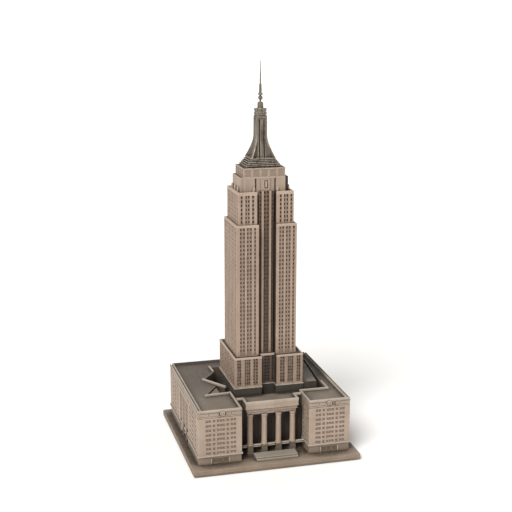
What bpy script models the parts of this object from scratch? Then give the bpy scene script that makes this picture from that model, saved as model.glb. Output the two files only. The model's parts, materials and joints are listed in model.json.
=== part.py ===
"""Miniature landmark tower on a square slab, a desk souvenir cast in several pieces.

World frame in metres: +Z up, the entrance side faces -Y, and the origin is the centre of the
felt pad's underside. All sizes below are in millimetres and are scaled when a mesh is made.
"""
from math import cos, hypot, pi, sin

import bmesh
import bpy

MM = 0.001
GAP = 0.3                       # clearance between neighbouring pieces
JOINT = GAP / 2                 # each podium piece stands back this far from its joint line

# Base
SLAB_SIZE = (100.0, 98.0)
FELT_MARGIN, FELT_THICK = 3.0, 0.9
SLAB_BOTTOM, SLAB_TOP = 1.2, 4.0

# Podium, heights
GROUND_TOP = 7.7
STRING_TOP = 9.6
DECK = 35.5
COPING_TOP = 36.8
TERRACE_TOP = 34.4
COURT_FLOOR = 18.0
# Podium, joint lines in plan
OUTER_X, FRONT_Y, BACK_Y = 45.55, -40.95, 44.55
WING_LEFT, WING_RIGHT = -19.9, 20.5
REAR_Y = 34.0
LINK_FRONT, LINK_BACK = -26.5, -20.45
STRING_LEDGE = 0.5
COPING_WIDTH = 1.0
COPING_INSET = 1.65
EMBLEM_X, EMBLEM_Z, EMBLEM_RADIUS, EMBLEM_THICK = (-31.6, 32.5), 34.2, 1.7, 0.7

# Portico
COLUMN_X = (-12.9, -4.3, 4.3, 12.9)
COLUMN_Y, COLUMN_RADIUS = -32.4, 1.65
PEDESTAL_HALF, PEDESTAL_TOP = 1.75, 9.6
COLUMN_TOP = 27.8
RAIL_HEIGHT, RAIL_HALF = 1.3, 0.7
ENTABLATURE_HALF_X, ENTABLATURE_FRONT = 16.0, -34.2
ENTABLATURE_STEPS = ((30.0, 1.2), (31.6, 0.6))                 # (top, set back) of each lower band
STEPS_X, STEPS_FRONT, STEPS_BACK = (-11.7, 13.1), -44.2, -36.2
STEP_RISE, STEP_TREAD = 0.95, 1.2

# Side entrances: tall bays between pilasters in the side walls, over a rail
SIDE_START, SIDE_BAY, SIDE_PILASTER, SIDE_BAYS = -11.5, 7.1, 1.6, 3
SIDE_DEEP, SIDE_TOP = 2.0, 30.0

# Tower, plan centres and tiers (half width, half depth, bottom, top)
TOWER = (1.5, -0.5)
FOOT = (2.0, -0.5)
PLINTH = (21.1, 19.75, COURT_FLOOR + GAP, 40.5)
LOWER = (20.85, 19.5, 40.8, 59.0)
SHAFT = (18.15, 15.2, 59.3, 137.2)
UPPER = (16.6, 13.55, 137.5, 156.1)
CROWN = (12.5, 10.0, 156.4, 164.0)
BAND = (12.4, 9.8, 164.3, 169.3)
CROWN_SHOULDER, CROWN_STEP = 1.9, 1.1
CROWN_SLOT_X, CROWN_SLOT_HALF, CROWN_SLOT_DEEP = 6.0, 0.45, 0.7
BAND_FLUTES, BAND_RIB, BAND_DEEP = (5, 4), 0.5, 0.45
REEDS, REED_DEEP = {"tower_lower_block": 9, "tower_shaft": 8, "tower_upper_tier": 7}, 0.25
RECESS_LOWER, RECESS_SHAFT, RECESS_UPPER = 4.4, 4.7, 5.3      # half widths
RECESS_BED, LOWER_BED = 9.5, 15.0                             # distance from the tower's centre
SPINE_HALF, SPINE_FACE = 4.4, 11.0
SPINE_PIER_X, SPINE_PIER_HALF, SPINE_PIER_DEEP = 2.26, 0.6, 0.5
BAY_DEEP = 0.6
LOWER_BAYS = ((6.8, 9.6), (11.4, 14.9), (17.0, 19.4))
SHAFT_BAYS = ((6.6, 8.3), (9.4, 12.7), (13.6, 16.9))
UPPER_BAYS = ((7.6, 8.8), (10.2, 13.0), (14.3, 15.5))

# Mast
MAST_STEPS = 5
MAST_STEP_FIRST, MAST_STEP_LAST = (10.6, 8.3), (7.4, 7.2)
MAST_BASE_BOTTOM, MAST_BASE_TOP = 169.6, 174.4
MAST_BOTTOM, MAST_TOP = 174.7, 197.0
FLARE_TOP, FLARE_POWER = 187.0, 1.55
WING_RADIUS, WING_FLARE, WING_HALF = 4.55, 5.6, 0.55
FACE_RADIUS, FACE_FLARE = 3.1, 1.3
GROOVE_X, GROOVE_HALF, GROOVE_DEEP = 1.45, 0.35, 0.6
CAP_BOTTOM, CAP_COLLAR_TOP, CAP_TOP = 197.3, 198.6, 206.3
CAP_COLLAR, CAP_RING, CAP_NECK, CAP_DRUM = 3.9, 3.5, 3.1, 1.6    # radii
CAP_RINGS = ((199.2, 200.6), (201.2, 202.5))
BALL_Z, BALL_RADIUS, BALL_NECK = 208.6, 1.35, 0.55
ANTENNA_COLLAR = (1.45, 210.2, 211.2)                            # radius, bottom, top
ANTENNA_ROD, ANTENNA_ROD_TOP, NEEDLE = 0.75, 216.4, (0.42, 0.25)
ANTENNA_TOP = 229.7

# Fastenings
SCREW_XY = ((-33.0, -28.0), (33.0, -28.0), (-33.0, 39.0), (33.0, 39.0))
SCREW_RADIUS, SCREW_HEAD, SCREW_HEAD_HIGH, SCREW_TOP = 1.4, 2.6, 1.1, 15.0
SCREW_SEAT = SLAB_BOTTOM + 0.1
ROD_RADIUS, ROD_BOTTOM, ROD_TOP = 1.5, 1.3, 172.6
BORE_PLAY = 0.35
ACCESS_RADIUS = 5.0
WASHER, NUT = (4.0, 3.5, 4.0), (3.2, 1.4, 3.2)                   # radius, bottom, top

# Finishes: sRGB colour, roughness, metallic
FINISHES = {
    "felt": ((52, 54, 50), 0.95, 0.0),
    "slab": ((158, 144, 126), 0.62, 0.0),
    "wall": ((184, 165, 148), 0.6, 0.0),
    "dark_storey": ((104, 92, 78), 0.65, 0.0),
    "trim": ((186, 174, 158), 0.55, 0.0),
    "roof": ((138, 127, 112), 0.7, 0.0),
    "plinth": ((72, 66, 56), 0.6, 0.0),
    "bronze": ((112, 101, 88), 0.42, 0.75),
    "steel": ((150, 150, 148), 0.35, 1.0),
}


# ---------------------------------------------------------------- helpers
def linear(channel):
    """One sRGB channel, 0 to 255, as a linear value."""
    value = channel / 255
    return value / 12.92 if value <= 0.04045 else ((value + 0.055) / 1.055) ** 2.4


def material(finish):
    """The Principled material of a finish, made on first use."""
    found = bpy.data.materials.get(finish)
    if found:
        return found
    colour, roughness, metallic = FINISHES[finish]
    made = bpy.data.materials.new(finish)
    made.use_nodes = True
    shader = made.node_tree.nodes["Principled BSDF"]
    shader.inputs["Base Color"].default_value = [linear(c) for c in colour] + [1.0]
    shader.inputs["Roughness"].default_value = roughness
    shader.inputs["Metallic"].default_value = metallic
    return made


def loft(name, sections, finish, at=(0.0, 0.0)):
    """A closed solid through (z, outline) sections, bottom to top.

    Every outline runs counter-clockwise and has the same number of points.
    """
    bm = bmesh.new()
    rings = []
    for z, outline in sections:
        rings.append([bm.verts.new(((x + at[0]) * MM, (y + at[1]) * MM, z * MM)) for x, y in outline])
    for lower, upper in zip(rings, rings[1:]):
        for i in range(len(lower)):
            j = (i + 1) % len(lower)
            bm.faces.new((lower[i], lower[j], upper[j], upper[i]))
    bm.faces.new(rings[0][::-1])
    bm.faces.new(rings[-1])
    bm.normal_update()
    bmesh.ops.triangulate(bm, faces=[face for face in bm.faces if len(face.verts) > 4])
    mesh = bpy.data.meshes.new(name)
    bm.to_mesh(mesh)
    bm.free()
    mesh.materials.append(material(finish))
    piece = bpy.data.objects.new(name, mesh)
    bpy.context.scene.collection.objects.link(piece)
    return piece


def prism(name, outline, bottom, top, finish, at=(0.0, 0.0)):
    """An upright prism on a plan outline."""
    return loft(name, [(bottom, outline), (top, outline)], finish, at)


def rectangle(x0, x1, y0, y1):
    return [(x0, y0), (x1, y0), (x1, y1), (x0, y1)]


def circle(radius, sides=16):
    return [(radius * cos(2 * pi * i / sides), radius * sin(2 * pi * i / sides)) for i in range(sides)]


def turned(name, profile, finish, at=(0.0, 0.0), sides=20):
    """A round solid from a (radius, z) profile, bottom to top."""
    piece = loft(name, [(z, circle(radius, sides)) for radius, z in profile], finish, at)
    piece.data.shade_smooth()
    piece.data.set_sharp_from_angle(angle=0.6)
    return piece


def offset_corner(before, corner, after, distance):
    """The corner moved to the left of both its edges by the distance."""
    ax, ay = corner[0] - before[0], corner[1] - before[1]
    bx, by = after[0] - corner[0], after[1] - corner[1]
    la, lb = hypot(ax, ay), hypot(bx, by)
    na, nb = (-ay / la, ax / la), (-by / lb, bx / lb)
    scale = distance / (1 + na[0] * nb[0] + na[1] * nb[1])
    return corner[0] + (na[0] + nb[0]) * scale, corner[1] + (na[1] + nb[1]) * scale


def inset(outline, distance):
    """A counter-clockwise outline shrunk on every side."""
    count = len(outline)
    return [offset_corner(outline[i - 1], outline[i], outline[(i + 1) % count], distance)
            for i in range(count)]


def strip(path, width):
    """The plan outline of a bar that follows a path."""
    def side(points, distance):
        first, last = points[0], points[-1]
        ahead = (2 * first[0] - points[1][0], 2 * first[1] - points[1][1])
        beyond = (2 * last[0] - points[-2][0], 2 * last[1] - points[-2][1])
        full = [ahead] + points + [beyond]
        return [offset_corner(full[i - 1], full[i], full[i + 1], distance)
                for i in range(1, len(full) - 1)]
    return side(path, -width / 2) + side(path, width / 2)[::-1]


def notched_edge(half, level, cuts):
    """A front edge, left to right, with (start, end, depth) notches."""
    points = [(-half, level)]
    for start, end, depth in sorted(cuts):
        points += [(start, level), (start, level + depth), (end, level + depth), (end, level)]
    return points + [(half, level)]


def notched(half_x, half_y, front_cuts, side_cuts):
    """A rectangle with notches, the same on opposite sides."""
    front = notched_edge(half_x, -half_y, front_cuts)
    side = notched_edge(half_y, -half_x, side_cuts)
    outline = front + [(-y, x) for x, y in side][1:]
    outline += [(-x, -y) for x, y in front][1:]
    outline += [(y, -x) for x, y in side][1:-1]
    return outline


def shouldered(half_x, half_y, shoulder, step, cuts):
    """A rectangle notched front and back, with a shallower shoulder out of each side."""
    wide, narrow = half_x + shoulder, half_y - step
    half = notched_edge(half_x, -half_y, cuts)
    half += [(half_x, -narrow), (wide, -narrow), (wide, narrow), (half_x, narrow)]
    return half + [(-x, -y) for x, y in half]


def both_sides(bays, depth):
    """Bays given on the right, as notches on both sides of the middle."""
    return [(a, b, depth) for a, b in bays] + [(-b, -a, depth) for a, b in bays]


def reeding(half, count, depth):
    """Evenly spaced notches, as wide as the plain strips between them."""
    pitch = 2 * half / (2 * count + 1)
    return [(-half + (2 * i + 1) * pitch, -half + (2 * i + 2) * pitch, depth) for i in range(count)]


def fluting(half, count, rib, depth):
    """Wide notches side by side, with a rib between them."""
    pitch = 2 * half / count
    return [(-half + i * pitch + rib, -half + (i + 1) * pitch - rib, depth) for i in range(count)]


def cutter(name, outline, bottom, top, at=(0.0, 0.0)):
    """A hidden tool for a cut."""
    tool = prism(name, outline, bottom, top, "steel", at)
    tool.hide_render = True
    tool.display_type = "WIRE"
    return tool


def round_cutter(name, radius, bottom, top, at):
    """A hidden round tool for a bore."""
    return cutter(name, circle(radius), bottom, top, at)


def bore(piece, tools):
    """Cut each tool from the piece."""
    for tool in tools:
        cut = piece.modifiers.new(tool.name, "BOOLEAN")
        cut.operation = "DIFFERENCE"
        cut.solver = "EXACT"
        cut.object = tool


def soften(piece, width):
    """A narrow bevel on the sharp edges."""
    bevel = piece.modifiers.new("softened_edges", "BEVEL")
    bevel.width = width * MM
    bevel.segments = 1
    bevel.limit_method = "ANGLE"


# ---------------------------------------------------------------- plan of the podium
def left_plan(ledge=0.0):
    """Left wing and range: the wing at the front, then the edge of the irregular light court."""
    return [(-OUTER_X - ledge, FRONT_Y - ledge), (WING_LEFT, FRONT_Y - ledge), (WING_LEFT, -14.1),
            (-36.0, -15.2), (-25.4, 1.1), (-21.5, -4.9), (-20.3, -4.0), (-31.0, 12.4),
            (-21.5, 24.8), (-21.9, REAR_Y), (-OUTER_X - ledge, REAR_Y)]


def right_plan(ledge=0.0):
    """Right wing and range, along a narrower court."""
    return [(WING_RIGHT, FRONT_Y - ledge), (OUTER_X + ledge, FRONT_Y - ledge),
            (OUTER_X + ledge, REAR_Y), (41.3, REAR_Y), (37.7, -9.3), (37.6, -21.3),
            (WING_RIGHT, -20.9)]


def rear_plan(ledge=0.0):
    return rectangle(-OUTER_X - ledge, OUTER_X + ledge, REAR_Y, BACK_Y + ledge)


def court_plan():
    """The sunken area between the ranges, on which the tower stands."""
    left, right = left_plan(), right_plan()
    terrace_foot = (-25.4, -14.45)
    return ([(WING_LEFT, LINK_BACK), (WING_RIGHT, LINK_BACK), right[6], right[5], right[4], right[3]]
            + [left[9], left[8], left[7], left[6], left[5], left[4], terrace_foot, left[2]])


def terrace_plan():
    return [(-36.0, -15.2), (-25.4, -14.45), (-25.4, 1.1)]


def annex_plan():
    """The low block that fills the narrow court, along the tower's right side."""
    inner, front, back = FOOT[0] + PLINTH[0] + GAP, -19.2, 30.0
    return [(inner, front), (31.9, front), (36.3, back), (inner, back)]


# ---------------------------------------------------------------- pieces
def build_base():
    """Felt, slab and the fastenings under it. Gives back the tool that bores for the tie rod."""
    half_x, half_y = SLAB_SIZE[0] / 2, SLAB_SIZE[1] / 2
    margin = FELT_MARGIN
    prism("felt_pad", rectangle(margin - half_x, half_x - margin, margin - half_y, half_y - margin),
          0.0, FELT_THICK, "felt")
    slab = prism("base_slab", rectangle(-half_x, half_x, -half_y, half_y), SLAB_BOTTOM, SLAB_TOP, "slab")
    soften(slab, 0.35)
    bore(slab, [round_cutter("cut_access", ACCESS_RADIUS, 0.0, 5.0, TOWER)])
    for number, spot in enumerate(SCREW_XY, 1):
        head_top = SCREW_SEAT + SCREW_HEAD_HIGH
        bore(slab, [round_cutter(f"cut_head_{number}", SCREW_HEAD + GAP, 0.0, head_top + GAP, spot),
                    round_cutter(f"cut_screw_{number}", SCREW_RADIUS + BORE_PLAY, FELT_THICK,
                                 SCREW_TOP + GAP, spot)])
        turned(f"slab_screw_{number}",
               [(SCREW_HEAD, SCREW_SEAT), (SCREW_HEAD, head_top), (SCREW_RADIUS, head_top),
                (SCREW_RADIUS, SCREW_TOP - SCREW_RADIUS), (SCREW_RADIUS / 3, SCREW_TOP)],
               "steel", spot, 12)
    turned("tie_rod", [(ROD_RADIUS, ROD_BOTTOM), (ROD_RADIUS, ROD_TOP)], "steel", TOWER, 16)
    hole = round_cutter("cut_rod", ROD_RADIUS + BORE_PLAY, FELT_THICK, ROD_TOP + GAP, TOWER)
    for name, (radius, bottom, top), sides in (("tie_washer", WASHER, 20), ("tie_nut", NUT, 6)):
        bore(prism(name, circle(radius, sides), bottom, top, "steel", TOWER), [hole])
    return hole


def build_podium(rod_hole):
    """Dark ground storey, string course and walls of the three ranges, with court, link and terrace."""
    screw_holes = [bpy.data.objects[f"cut_screw_{number}"] for number in range(1, 5)]
    ranges = (("left", left_plan, (0,)), ("right", right_plan, (1,)), ("rear", rear_plan, (2, 3)))
    for side, plan, screws in ranges:
        holes = [screw_holes[number] for number in screws]
        ground = prism(f"ground_storey_{side}", inset(plan(), JOINT + 0.2), SLAB_TOP + GAP,
                       GROUND_TOP, "dark_storey")
        string = prism(f"string_course_{side}", inset(plan(STRING_LEDGE), JOINT), GROUND_TOP + GAP,
                       STRING_TOP, "trim")
        walls = prism(f"podium_{side}", inset(plan(), JOINT), STRING_TOP + GAP, DECK, "wall")
        for piece in (ground, string, walls):
            bore(piece, holes)
    core = prism("podium_core", inset(court_plan(), JOINT), SLAB_TOP + GAP, COURT_FLOOR, "dark_storey")
    bore(core, [rod_hole])
    link = rectangle(WING_LEFT, WING_RIGHT, LINK_FRONT, LINK_BACK)
    prism("podium_link", inset(link, JOINT), SLAB_TOP + GAP, DECK, "roof")
    prism("left_terrace", inset(terrace_plan(), JOINT), SLAB_TOP + GAP, TERRACE_TOP, "roof")
    prism("right_annex", annex_plan(), COURT_FLOOR + GAP, PLINTH[3], "plinth")


def build_copings():
    """Raised bars that edge the roofs and the courts."""
    bottom = DECK + GAP
    edge_x, edge_front, edge_back = OUTER_X - COPING_INSET, FRONT_Y + 0.65, BACK_Y - COPING_INSET
    inner_left, inner_right = WING_LEFT - 0.65, WING_RIGHT + 0.65
    split = REAR_Y - 0.4
    paths = {
        "left_coping": [(-edge_x, split), (-edge_x, edge_front), (inner_left, edge_front),
                        (inner_left, -14.8), (-35.6, -15.85)],
        "right_coping": [(38.35, -9.5), (38.25, -21.95), (inner_right, -21.55),
                         (inner_right, edge_front), (edge_x, edge_front), (edge_x, split)],
        "rear_coping": [(-edge_x, REAR_Y + 0.4), (-edge_x, edge_back), (edge_x, edge_back),
                        (edge_x, REAR_Y + 0.4)],
        "court_coping_long": [(-30.4, 10.4), (-21.2, -4.0)],
        "court_coping_short": [(-22.2, 25.3), (-22.5, split)],
    }
    for name, path in paths.items():
        soften(prism(name, strip(path, COPING_WIDTH), bottom, COPING_TOP, "trim"), 0.15)


def build_portico():
    """Steps, pedestals with rails between them, columns, entablature and its coping."""
    steps = [(SLAB_TOP + GAP, STEPS_FRONT), (SLAB_TOP + STEP_RISE, STEPS_FRONT),
             (SLAB_TOP + STEP_RISE, STEPS_FRONT + STEP_TREAD),
             (SLAB_TOP + 2 * STEP_RISE, STEPS_FRONT + STEP_TREAD)]
    loft("front_steps", [(z, rectangle(*STEPS_X, front, STEPS_BACK)) for z, front in steps], "slab")

    pedestal = rectangle(-PEDESTAL_HALF, PEDESTAL_HALF, -PEDESTAL_HALF, PEDESTAL_HALF)
    for number, x in enumerate(COLUMN_X, 1):
        soften(prism(f"portico_pedestal_{number}", pedestal, SLAB_TOP + GAP, PEDESTAL_TOP,
                     "dark_storey", (x, COLUMN_Y)), 0.15)
        radius, foot = COLUMN_RADIUS, PEDESTAL_TOP + GAP
        turned(f"portico_column_{number}",
               [(radius + 0.2, foot), (radius + 0.2, foot + 0.5), (radius, foot + 0.8),
                (radius * 0.94, COLUMN_TOP - 1.2), (radius + 0.15, COLUMN_TOP - 0.6),
                (radius + 0.15, COLUMN_TOP)], "wall", (x, COLUMN_Y))

    stops = (WING_LEFT + JOINT,) + COLUMN_X + (WING_RIGHT - JOINT,)
    for number, (start, end) in enumerate(zip(stops, stops[1:]), 1):
        left = start + (GAP if number == 1 else PEDESTAL_HALF + GAP)
        right = end - (GAP if number == len(stops) - 1 else PEDESTAL_HALF + GAP)
        soften(prism(f"portico_rail_{number}",
                     rectangle(left, right, COLUMN_Y - RAIL_HALF, COLUMN_Y + RAIL_HALF),
                     PEDESTAL_TOP - RAIL_HEIGHT, PEDESTAL_TOP, "trim"), 0.2)

    back = LINK_FRONT - GAP
    half, front = ENTABLATURE_HALF_X, ENTABLATURE_FRONT
    bottom, bands = COLUMN_TOP + GAP, []
    for top, step in ENTABLATURE_STEPS + ((DECK, 0.0),):
        plan = rectangle(-half + step, half - step, front + step, back)
        bands += [(bottom, plan), (top, plan)]
        bottom = top
    loft("portico_entablature", bands, "wall")
    edge, link_y = half - 0.5, LINK_FRONT + 0.65
    soften(prism("portico_coping",
                 strip([(WING_LEFT + 0.5, link_y), (-edge, link_y), (-edge, front + 0.5),
                        (edge, front + 0.5), (edge, link_y), (WING_RIGHT - 0.5, link_y)], COPING_WIDTH),
                 DECK + GAP, COPING_TOP, "trim"), 0.15)


def build_frieze_emblems():
    """A plain round rosette in the middle of each wing's frieze."""
    face = FRONT_Y + JOINT - GAP
    profile = ((1.0, 0.0), (0.9, 0.6), (0.6, 0.6), (0.3, 1.0))
    for side, x in zip(("left", "right"), EMBLEM_X):
        disc = turned(f"frieze_emblem_{side}",
                      [(EMBLEM_RADIUS * wide, EMBLEM_THICK * high) for wide, high in profile], "trim")
        disc.rotation_euler = (pi / 2, 0.0, 0.0)
        disc.location = (x * MM, face * MM, EMBLEM_Z * MM)


def build_side_entrances():
    """Tall bays cut in each side wall, open below the walls, with a rail across them."""
    end = SIDE_START + SIDE_BAYS * SIDE_BAY + (SIDE_BAYS - 1) * SIDE_PILASTER
    for side, sign in (("left", -1), ("right", 1)):
        bed, outside = sign * (OUTER_X - JOINT - SIDE_DEEP), sign * (OUTER_X + SIDE_DEEP)
        x0, x1 = sorted((bed, outside))
        foot = cutter(f"cut_side_foot_{side}", rectangle(x0, x1, SIDE_START, end),
                      SLAB_TOP, STRING_TOP + JOINT)
        bore(bpy.data.objects[f"ground_storey_{side}"], [foot])
        bore(bpy.data.objects[f"string_course_{side}"], [foot])
        for bay in range(SIDE_BAYS):
            start = SIDE_START + bay * (SIDE_BAY + SIDE_PILASTER)
            opening = cutter(f"cut_side_bay_{side}_{bay}", rectangle(x0, x1, start, start + SIDE_BAY),
                             STRING_TOP, SIDE_TOP)
            bore(bpy.data.objects[f"podium_{side}"], [opening])
        x0, x1 = sorted((bed + sign * SIDE_DEEP / 3, bed + sign * (SIDE_DEEP - GAP)))
        soften(prism(f"side_rail_{side}", rectangle(x0, x1, SIDE_START + GAP, end - GAP),
                     STRING_TOP - RAIL_HEIGHT, STRING_TOP, "trim"), 0.15)


def build_tower(rod_hole):
    """Plinth, three tiers with their recessed centre, the two spines and the crown."""
    def tier(name, size, bays, recess, bed, at, finish="wall"):
        half_x, half_y, bottom, top = size
        front = both_sides(bays, BAY_DEEP) + [(-recess, recess, half_y - bed)]
        sides = reeding(half_y, REEDS.get(name, 0), REED_DEEP)
        bore(prism(name, notched(half_x, half_y, front, sides), bottom, top, finish, at), [rod_hole])

    tier("tower_plinth", PLINTH, (), RECESS_LOWER, LOWER_BED, FOOT, "plinth")
    tier("tower_lower_block", LOWER, LOWER_BAYS, RECESS_LOWER, LOWER_BED, FOOT)
    tier("tower_shaft", SHAFT, SHAFT_BAYS, RECESS_SHAFT, RECESS_BED, TOWER)
    tier("tower_upper_tier", UPPER, UPPER_BAYS, RECESS_UPPER, RECESS_BED, TOWER)

    proud, bed = -SPINE_FACE - SPINE_PIER_DEEP, -RECESS_BED - GAP
    outline = [(-SPINE_HALF, -SPINE_FACE)]
    for x in (-SPINE_PIER_X, SPINE_PIER_X):
        left, right = x - SPINE_PIER_HALF, x + SPINE_PIER_HALF
        outline += [(left, -SPINE_FACE), (left, proud), (right, proud), (right, -SPINE_FACE)]
    outline += [(SPINE_HALF, -SPINE_FACE), (SPINE_HALF, bed), (-SPINE_HALF, bed)]
    prism("spine_front", outline, SHAFT[2], UPPER[3], "wall", TOWER)
    prism("spine_back", [(-x, -y) for x, y in outline], SHAFT[2], UPPER[3], "wall", TOWER)

    half_x, half_y, bottom, top = CROWN
    slots = both_sides([(CROWN_SLOT_X - CROWN_SLOT_HALF, CROWN_SLOT_X + CROWN_SLOT_HALF)], CROWN_SLOT_DEEP)
    outline = shouldered(half_x, half_y, CROWN_SHOULDER, CROWN_STEP, slots)
    bore(prism("crown_block", outline, bottom, top, "wall", TOWER), [rod_hole])

    half_x, half_y, bottom, top = BAND
    flutes, side_flutes = [fluting(half, count, BAND_RIB, BAND_DEEP)
                           for half, count in zip((half_x, half_y), BAND_FLUTES)]
    bore(prism("crown_band", notched(half_x, half_y, flutes, side_flutes), bottom, top, "wall", TOWER),
         [rod_hole])


def flare(z):
    """How far the mast has spread at a height: 0 on its straight part, 1 at its foot."""
    below = max(0.0, (FLARE_TOP - z) / (FLARE_TOP - MAST_BOTTOM))
    return below ** FLARE_POWER


def mast_outline(z):
    """Four diagonal wings joined by faces that each have two grooves."""
    wing = WING_RADIUS + WING_FLARE * flare(z)
    face = FACE_RADIUS + FACE_FLARE * flare(z)
    root2 = 2 ** 0.5
    half = [(GROOVE_X - GROOVE_HALF, face), (GROOVE_X - GROOVE_HALF, face - GROOVE_DEEP),
            (GROOVE_X + GROOVE_HALF, face - GROOVE_DEEP), (GROOVE_X + GROOVE_HALF, face),
            (face - root2 * WING_HALF, face),
            ((wing - WING_HALF) / root2, (wing + WING_HALF) / root2)]
    side = [(-t, n) for t, n in reversed(half)] + half
    outline = []
    for turn in range(4):
        c, s = cos(turn * pi / 2), sin(turn * pi / 2)
        outline += [(t * c + n * s, t * s - n * c) for t, n in side]
    return outline


def build_mast(rod_hole):
    """Stepped base, winged mast, turned cap and antenna."""
    sections = []
    rise = (MAST_BASE_TOP - MAST_BASE_BOTTOM) / MAST_STEPS
    for i in range(MAST_STEPS):
        share = i / (MAST_STEPS - 1)
        x, y = [a + (b - a) * share for a, b in zip(MAST_STEP_FIRST, MAST_STEP_LAST)]
        tread = rectangle(-x, x, -y, y)
        sections += [(MAST_BASE_BOTTOM + i * rise, tread), (MAST_BASE_BOTTOM + (i + 1) * rise, tread)]
    bore(loft("mast_base", sections, "bronze", TOWER), [rod_hole])

    levels = 12
    heights = [MAST_BOTTOM + (FLARE_TOP - MAST_BOTTOM) * i / levels for i in range(levels + 1)]
    loft("mast", [(z, mast_outline(z)) for z in heights + [MAST_TOP]], "bronze", TOWER)

    build_cap()
    build_antenna()


def build_cap():
    """Collar, two rings with a neck between them, and a drum."""
    chamfer = 0.2
    profile = [(CAP_COLLAR, CAP_BOTTOM), (CAP_COLLAR, CAP_COLLAR_TOP)]
    for bottom, top in CAP_RINGS:
        profile += [(CAP_NECK, bottom - chamfer), (CAP_RING, bottom), (CAP_RING, top),
                    (CAP_NECK, top + chamfer)]
    profile += [(CAP_DRUM, CAP_RINGS[-1][1] + chamfer), (CAP_DRUM, CAP_TOP - chamfer),
                (CAP_DRUM - chamfer, CAP_TOP)]
    turned("mast_cap", profile, "bronze", TOWER, 16)


def build_antenna():
    """Neck, ball, collar, rod and a tapering needle."""
    chamfer, arc_steps = 0.3, 6
    radius, bottom, top = ANTENNA_COLLAR
    profile = [(BALL_NECK, CAP_TOP + GAP), (BALL_NECK, BALL_Z - BALL_RADIUS)]
    for i in range(1, arc_steps):
        angle = -pi / 2 + pi * i / arc_steps
        profile.append((BALL_RADIUS * cos(angle), BALL_Z + BALL_RADIUS * sin(angle)))
    profile += [(BALL_NECK, BALL_Z + BALL_RADIUS), (radius, bottom), (radius, top),
                (ANTENNA_ROD, top + chamfer), (ANTENNA_ROD, ANTENNA_ROD_TOP),
                (NEEDLE[0], ANTENNA_ROD_TOP + chamfer), (NEEDLE[1], ANTENNA_TOP)]
    turned("antenna", profile, "bronze", TOWER, 12)


def clear_scene():
    for item in list(bpy.data.objects):
        bpy.data.objects.remove(item, do_unlink=True)


clear_scene()
ROD_HOLE = build_base()
build_podium(ROD_HOLE)
build_copings()
build_portico()
build_frieze_emblems()
build_side_entrances()
build_tower(ROD_HOLE)
build_mast(ROD_HOLE)
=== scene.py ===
"""Looks of the miniature landmark tower: detailed castings, finishes, light and camera.

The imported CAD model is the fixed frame. Every casting here is built on the boxes and plan outlines of
the CAD nodes that it stands for. Sizes are in millimetres until a mesh is made, and the entrance side
faces -Y.
"""
import json
import random
from math import cos, pi, radians, sin

import bmesh
import bpy
from mathutils import Matrix, Vector
from mathutils.geometry import delaunay_2d_cdt


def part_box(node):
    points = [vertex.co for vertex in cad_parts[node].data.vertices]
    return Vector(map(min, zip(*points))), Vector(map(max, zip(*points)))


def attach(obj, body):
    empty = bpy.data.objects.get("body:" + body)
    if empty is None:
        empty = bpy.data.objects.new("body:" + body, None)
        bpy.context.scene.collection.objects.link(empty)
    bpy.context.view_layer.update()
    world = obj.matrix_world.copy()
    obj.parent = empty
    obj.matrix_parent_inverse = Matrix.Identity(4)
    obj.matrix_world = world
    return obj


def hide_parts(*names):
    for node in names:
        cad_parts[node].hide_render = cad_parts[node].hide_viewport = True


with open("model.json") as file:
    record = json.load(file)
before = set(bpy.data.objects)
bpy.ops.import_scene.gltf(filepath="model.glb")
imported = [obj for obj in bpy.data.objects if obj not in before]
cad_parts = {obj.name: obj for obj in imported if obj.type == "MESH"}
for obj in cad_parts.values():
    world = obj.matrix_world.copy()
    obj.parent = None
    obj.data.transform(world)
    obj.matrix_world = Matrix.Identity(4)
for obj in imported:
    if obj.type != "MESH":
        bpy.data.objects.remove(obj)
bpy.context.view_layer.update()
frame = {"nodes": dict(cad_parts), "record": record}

MM = 0.001
RANDOM = random.Random(7)

# Camera, as a product photograph would be framed
LENS, SENSOR = 75.0, 36.0
AZIMUTH, ELEVATION, ROLL = radians(-15.06), radians(13.51), radians(0.1)
DISTANCE = 0.6297
AIM = Vector((-0.00186, -0.0040, 0.11610))

# Light and floor
KEY_AZIMUTH, KEY_ELEVATION = radians(-38), radians(46)
KEY_SOFTNESS, KEY_STRENGTH = radians(30), 3.55
SKY_COLOUR, SKY_STRENGTH = (1.0, 0.99, 0.975, 1.0), 0.40
# Radius and height of the floor's rings, in metres
BOWL = ((0.05, 0.0), (1.5, 0.0), (2.4, 0.12), (3.0, 0.42), (3.3, 0.85), (3.4, 1.4))
BOWL_SIDES = 64

# Podium walls
JOINT = 0.15                                    # half the gap between neighbouring castings
WINDOW_ROWS, WINDOW_PITCH, WINDOW_FIRST, WINDOW_HIGH = 8, 2.8, 9.85, 1.45
BAY_WIDE, BAY_NARROW, BAY_CENTRE, BAY_GAP = 3.25, 1.5, 4.6, 0.95
GROUP_GAP, CORNER_MARGIN = 2.4, 3.8
LIGHT_BAR, LIGHT_EDGE = 0.24, 0.06
BAY_DEEP, PANE_DEEP, FRAME = 0.22, 0.45, 0.08
WINDOW_SHIFT = 0.4                              # the groups of the front stand right of the middle
SIDE_BAYS, SIDE_PILASTER, SIDE_DEEP, SIDE_TOP = 3, 1.6, 2.0, 30.0
SIDE_EDGE, SIDE_BAR, SIDE_MARGIN = 0.9, 1.1, 1.5              # of the windows in the tall side bays
SIDE_BED, SIDE_PANE, RAIL_CLEAR = 0.3, 0.55, 12.6             # the bays are shallower above their rails

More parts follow.
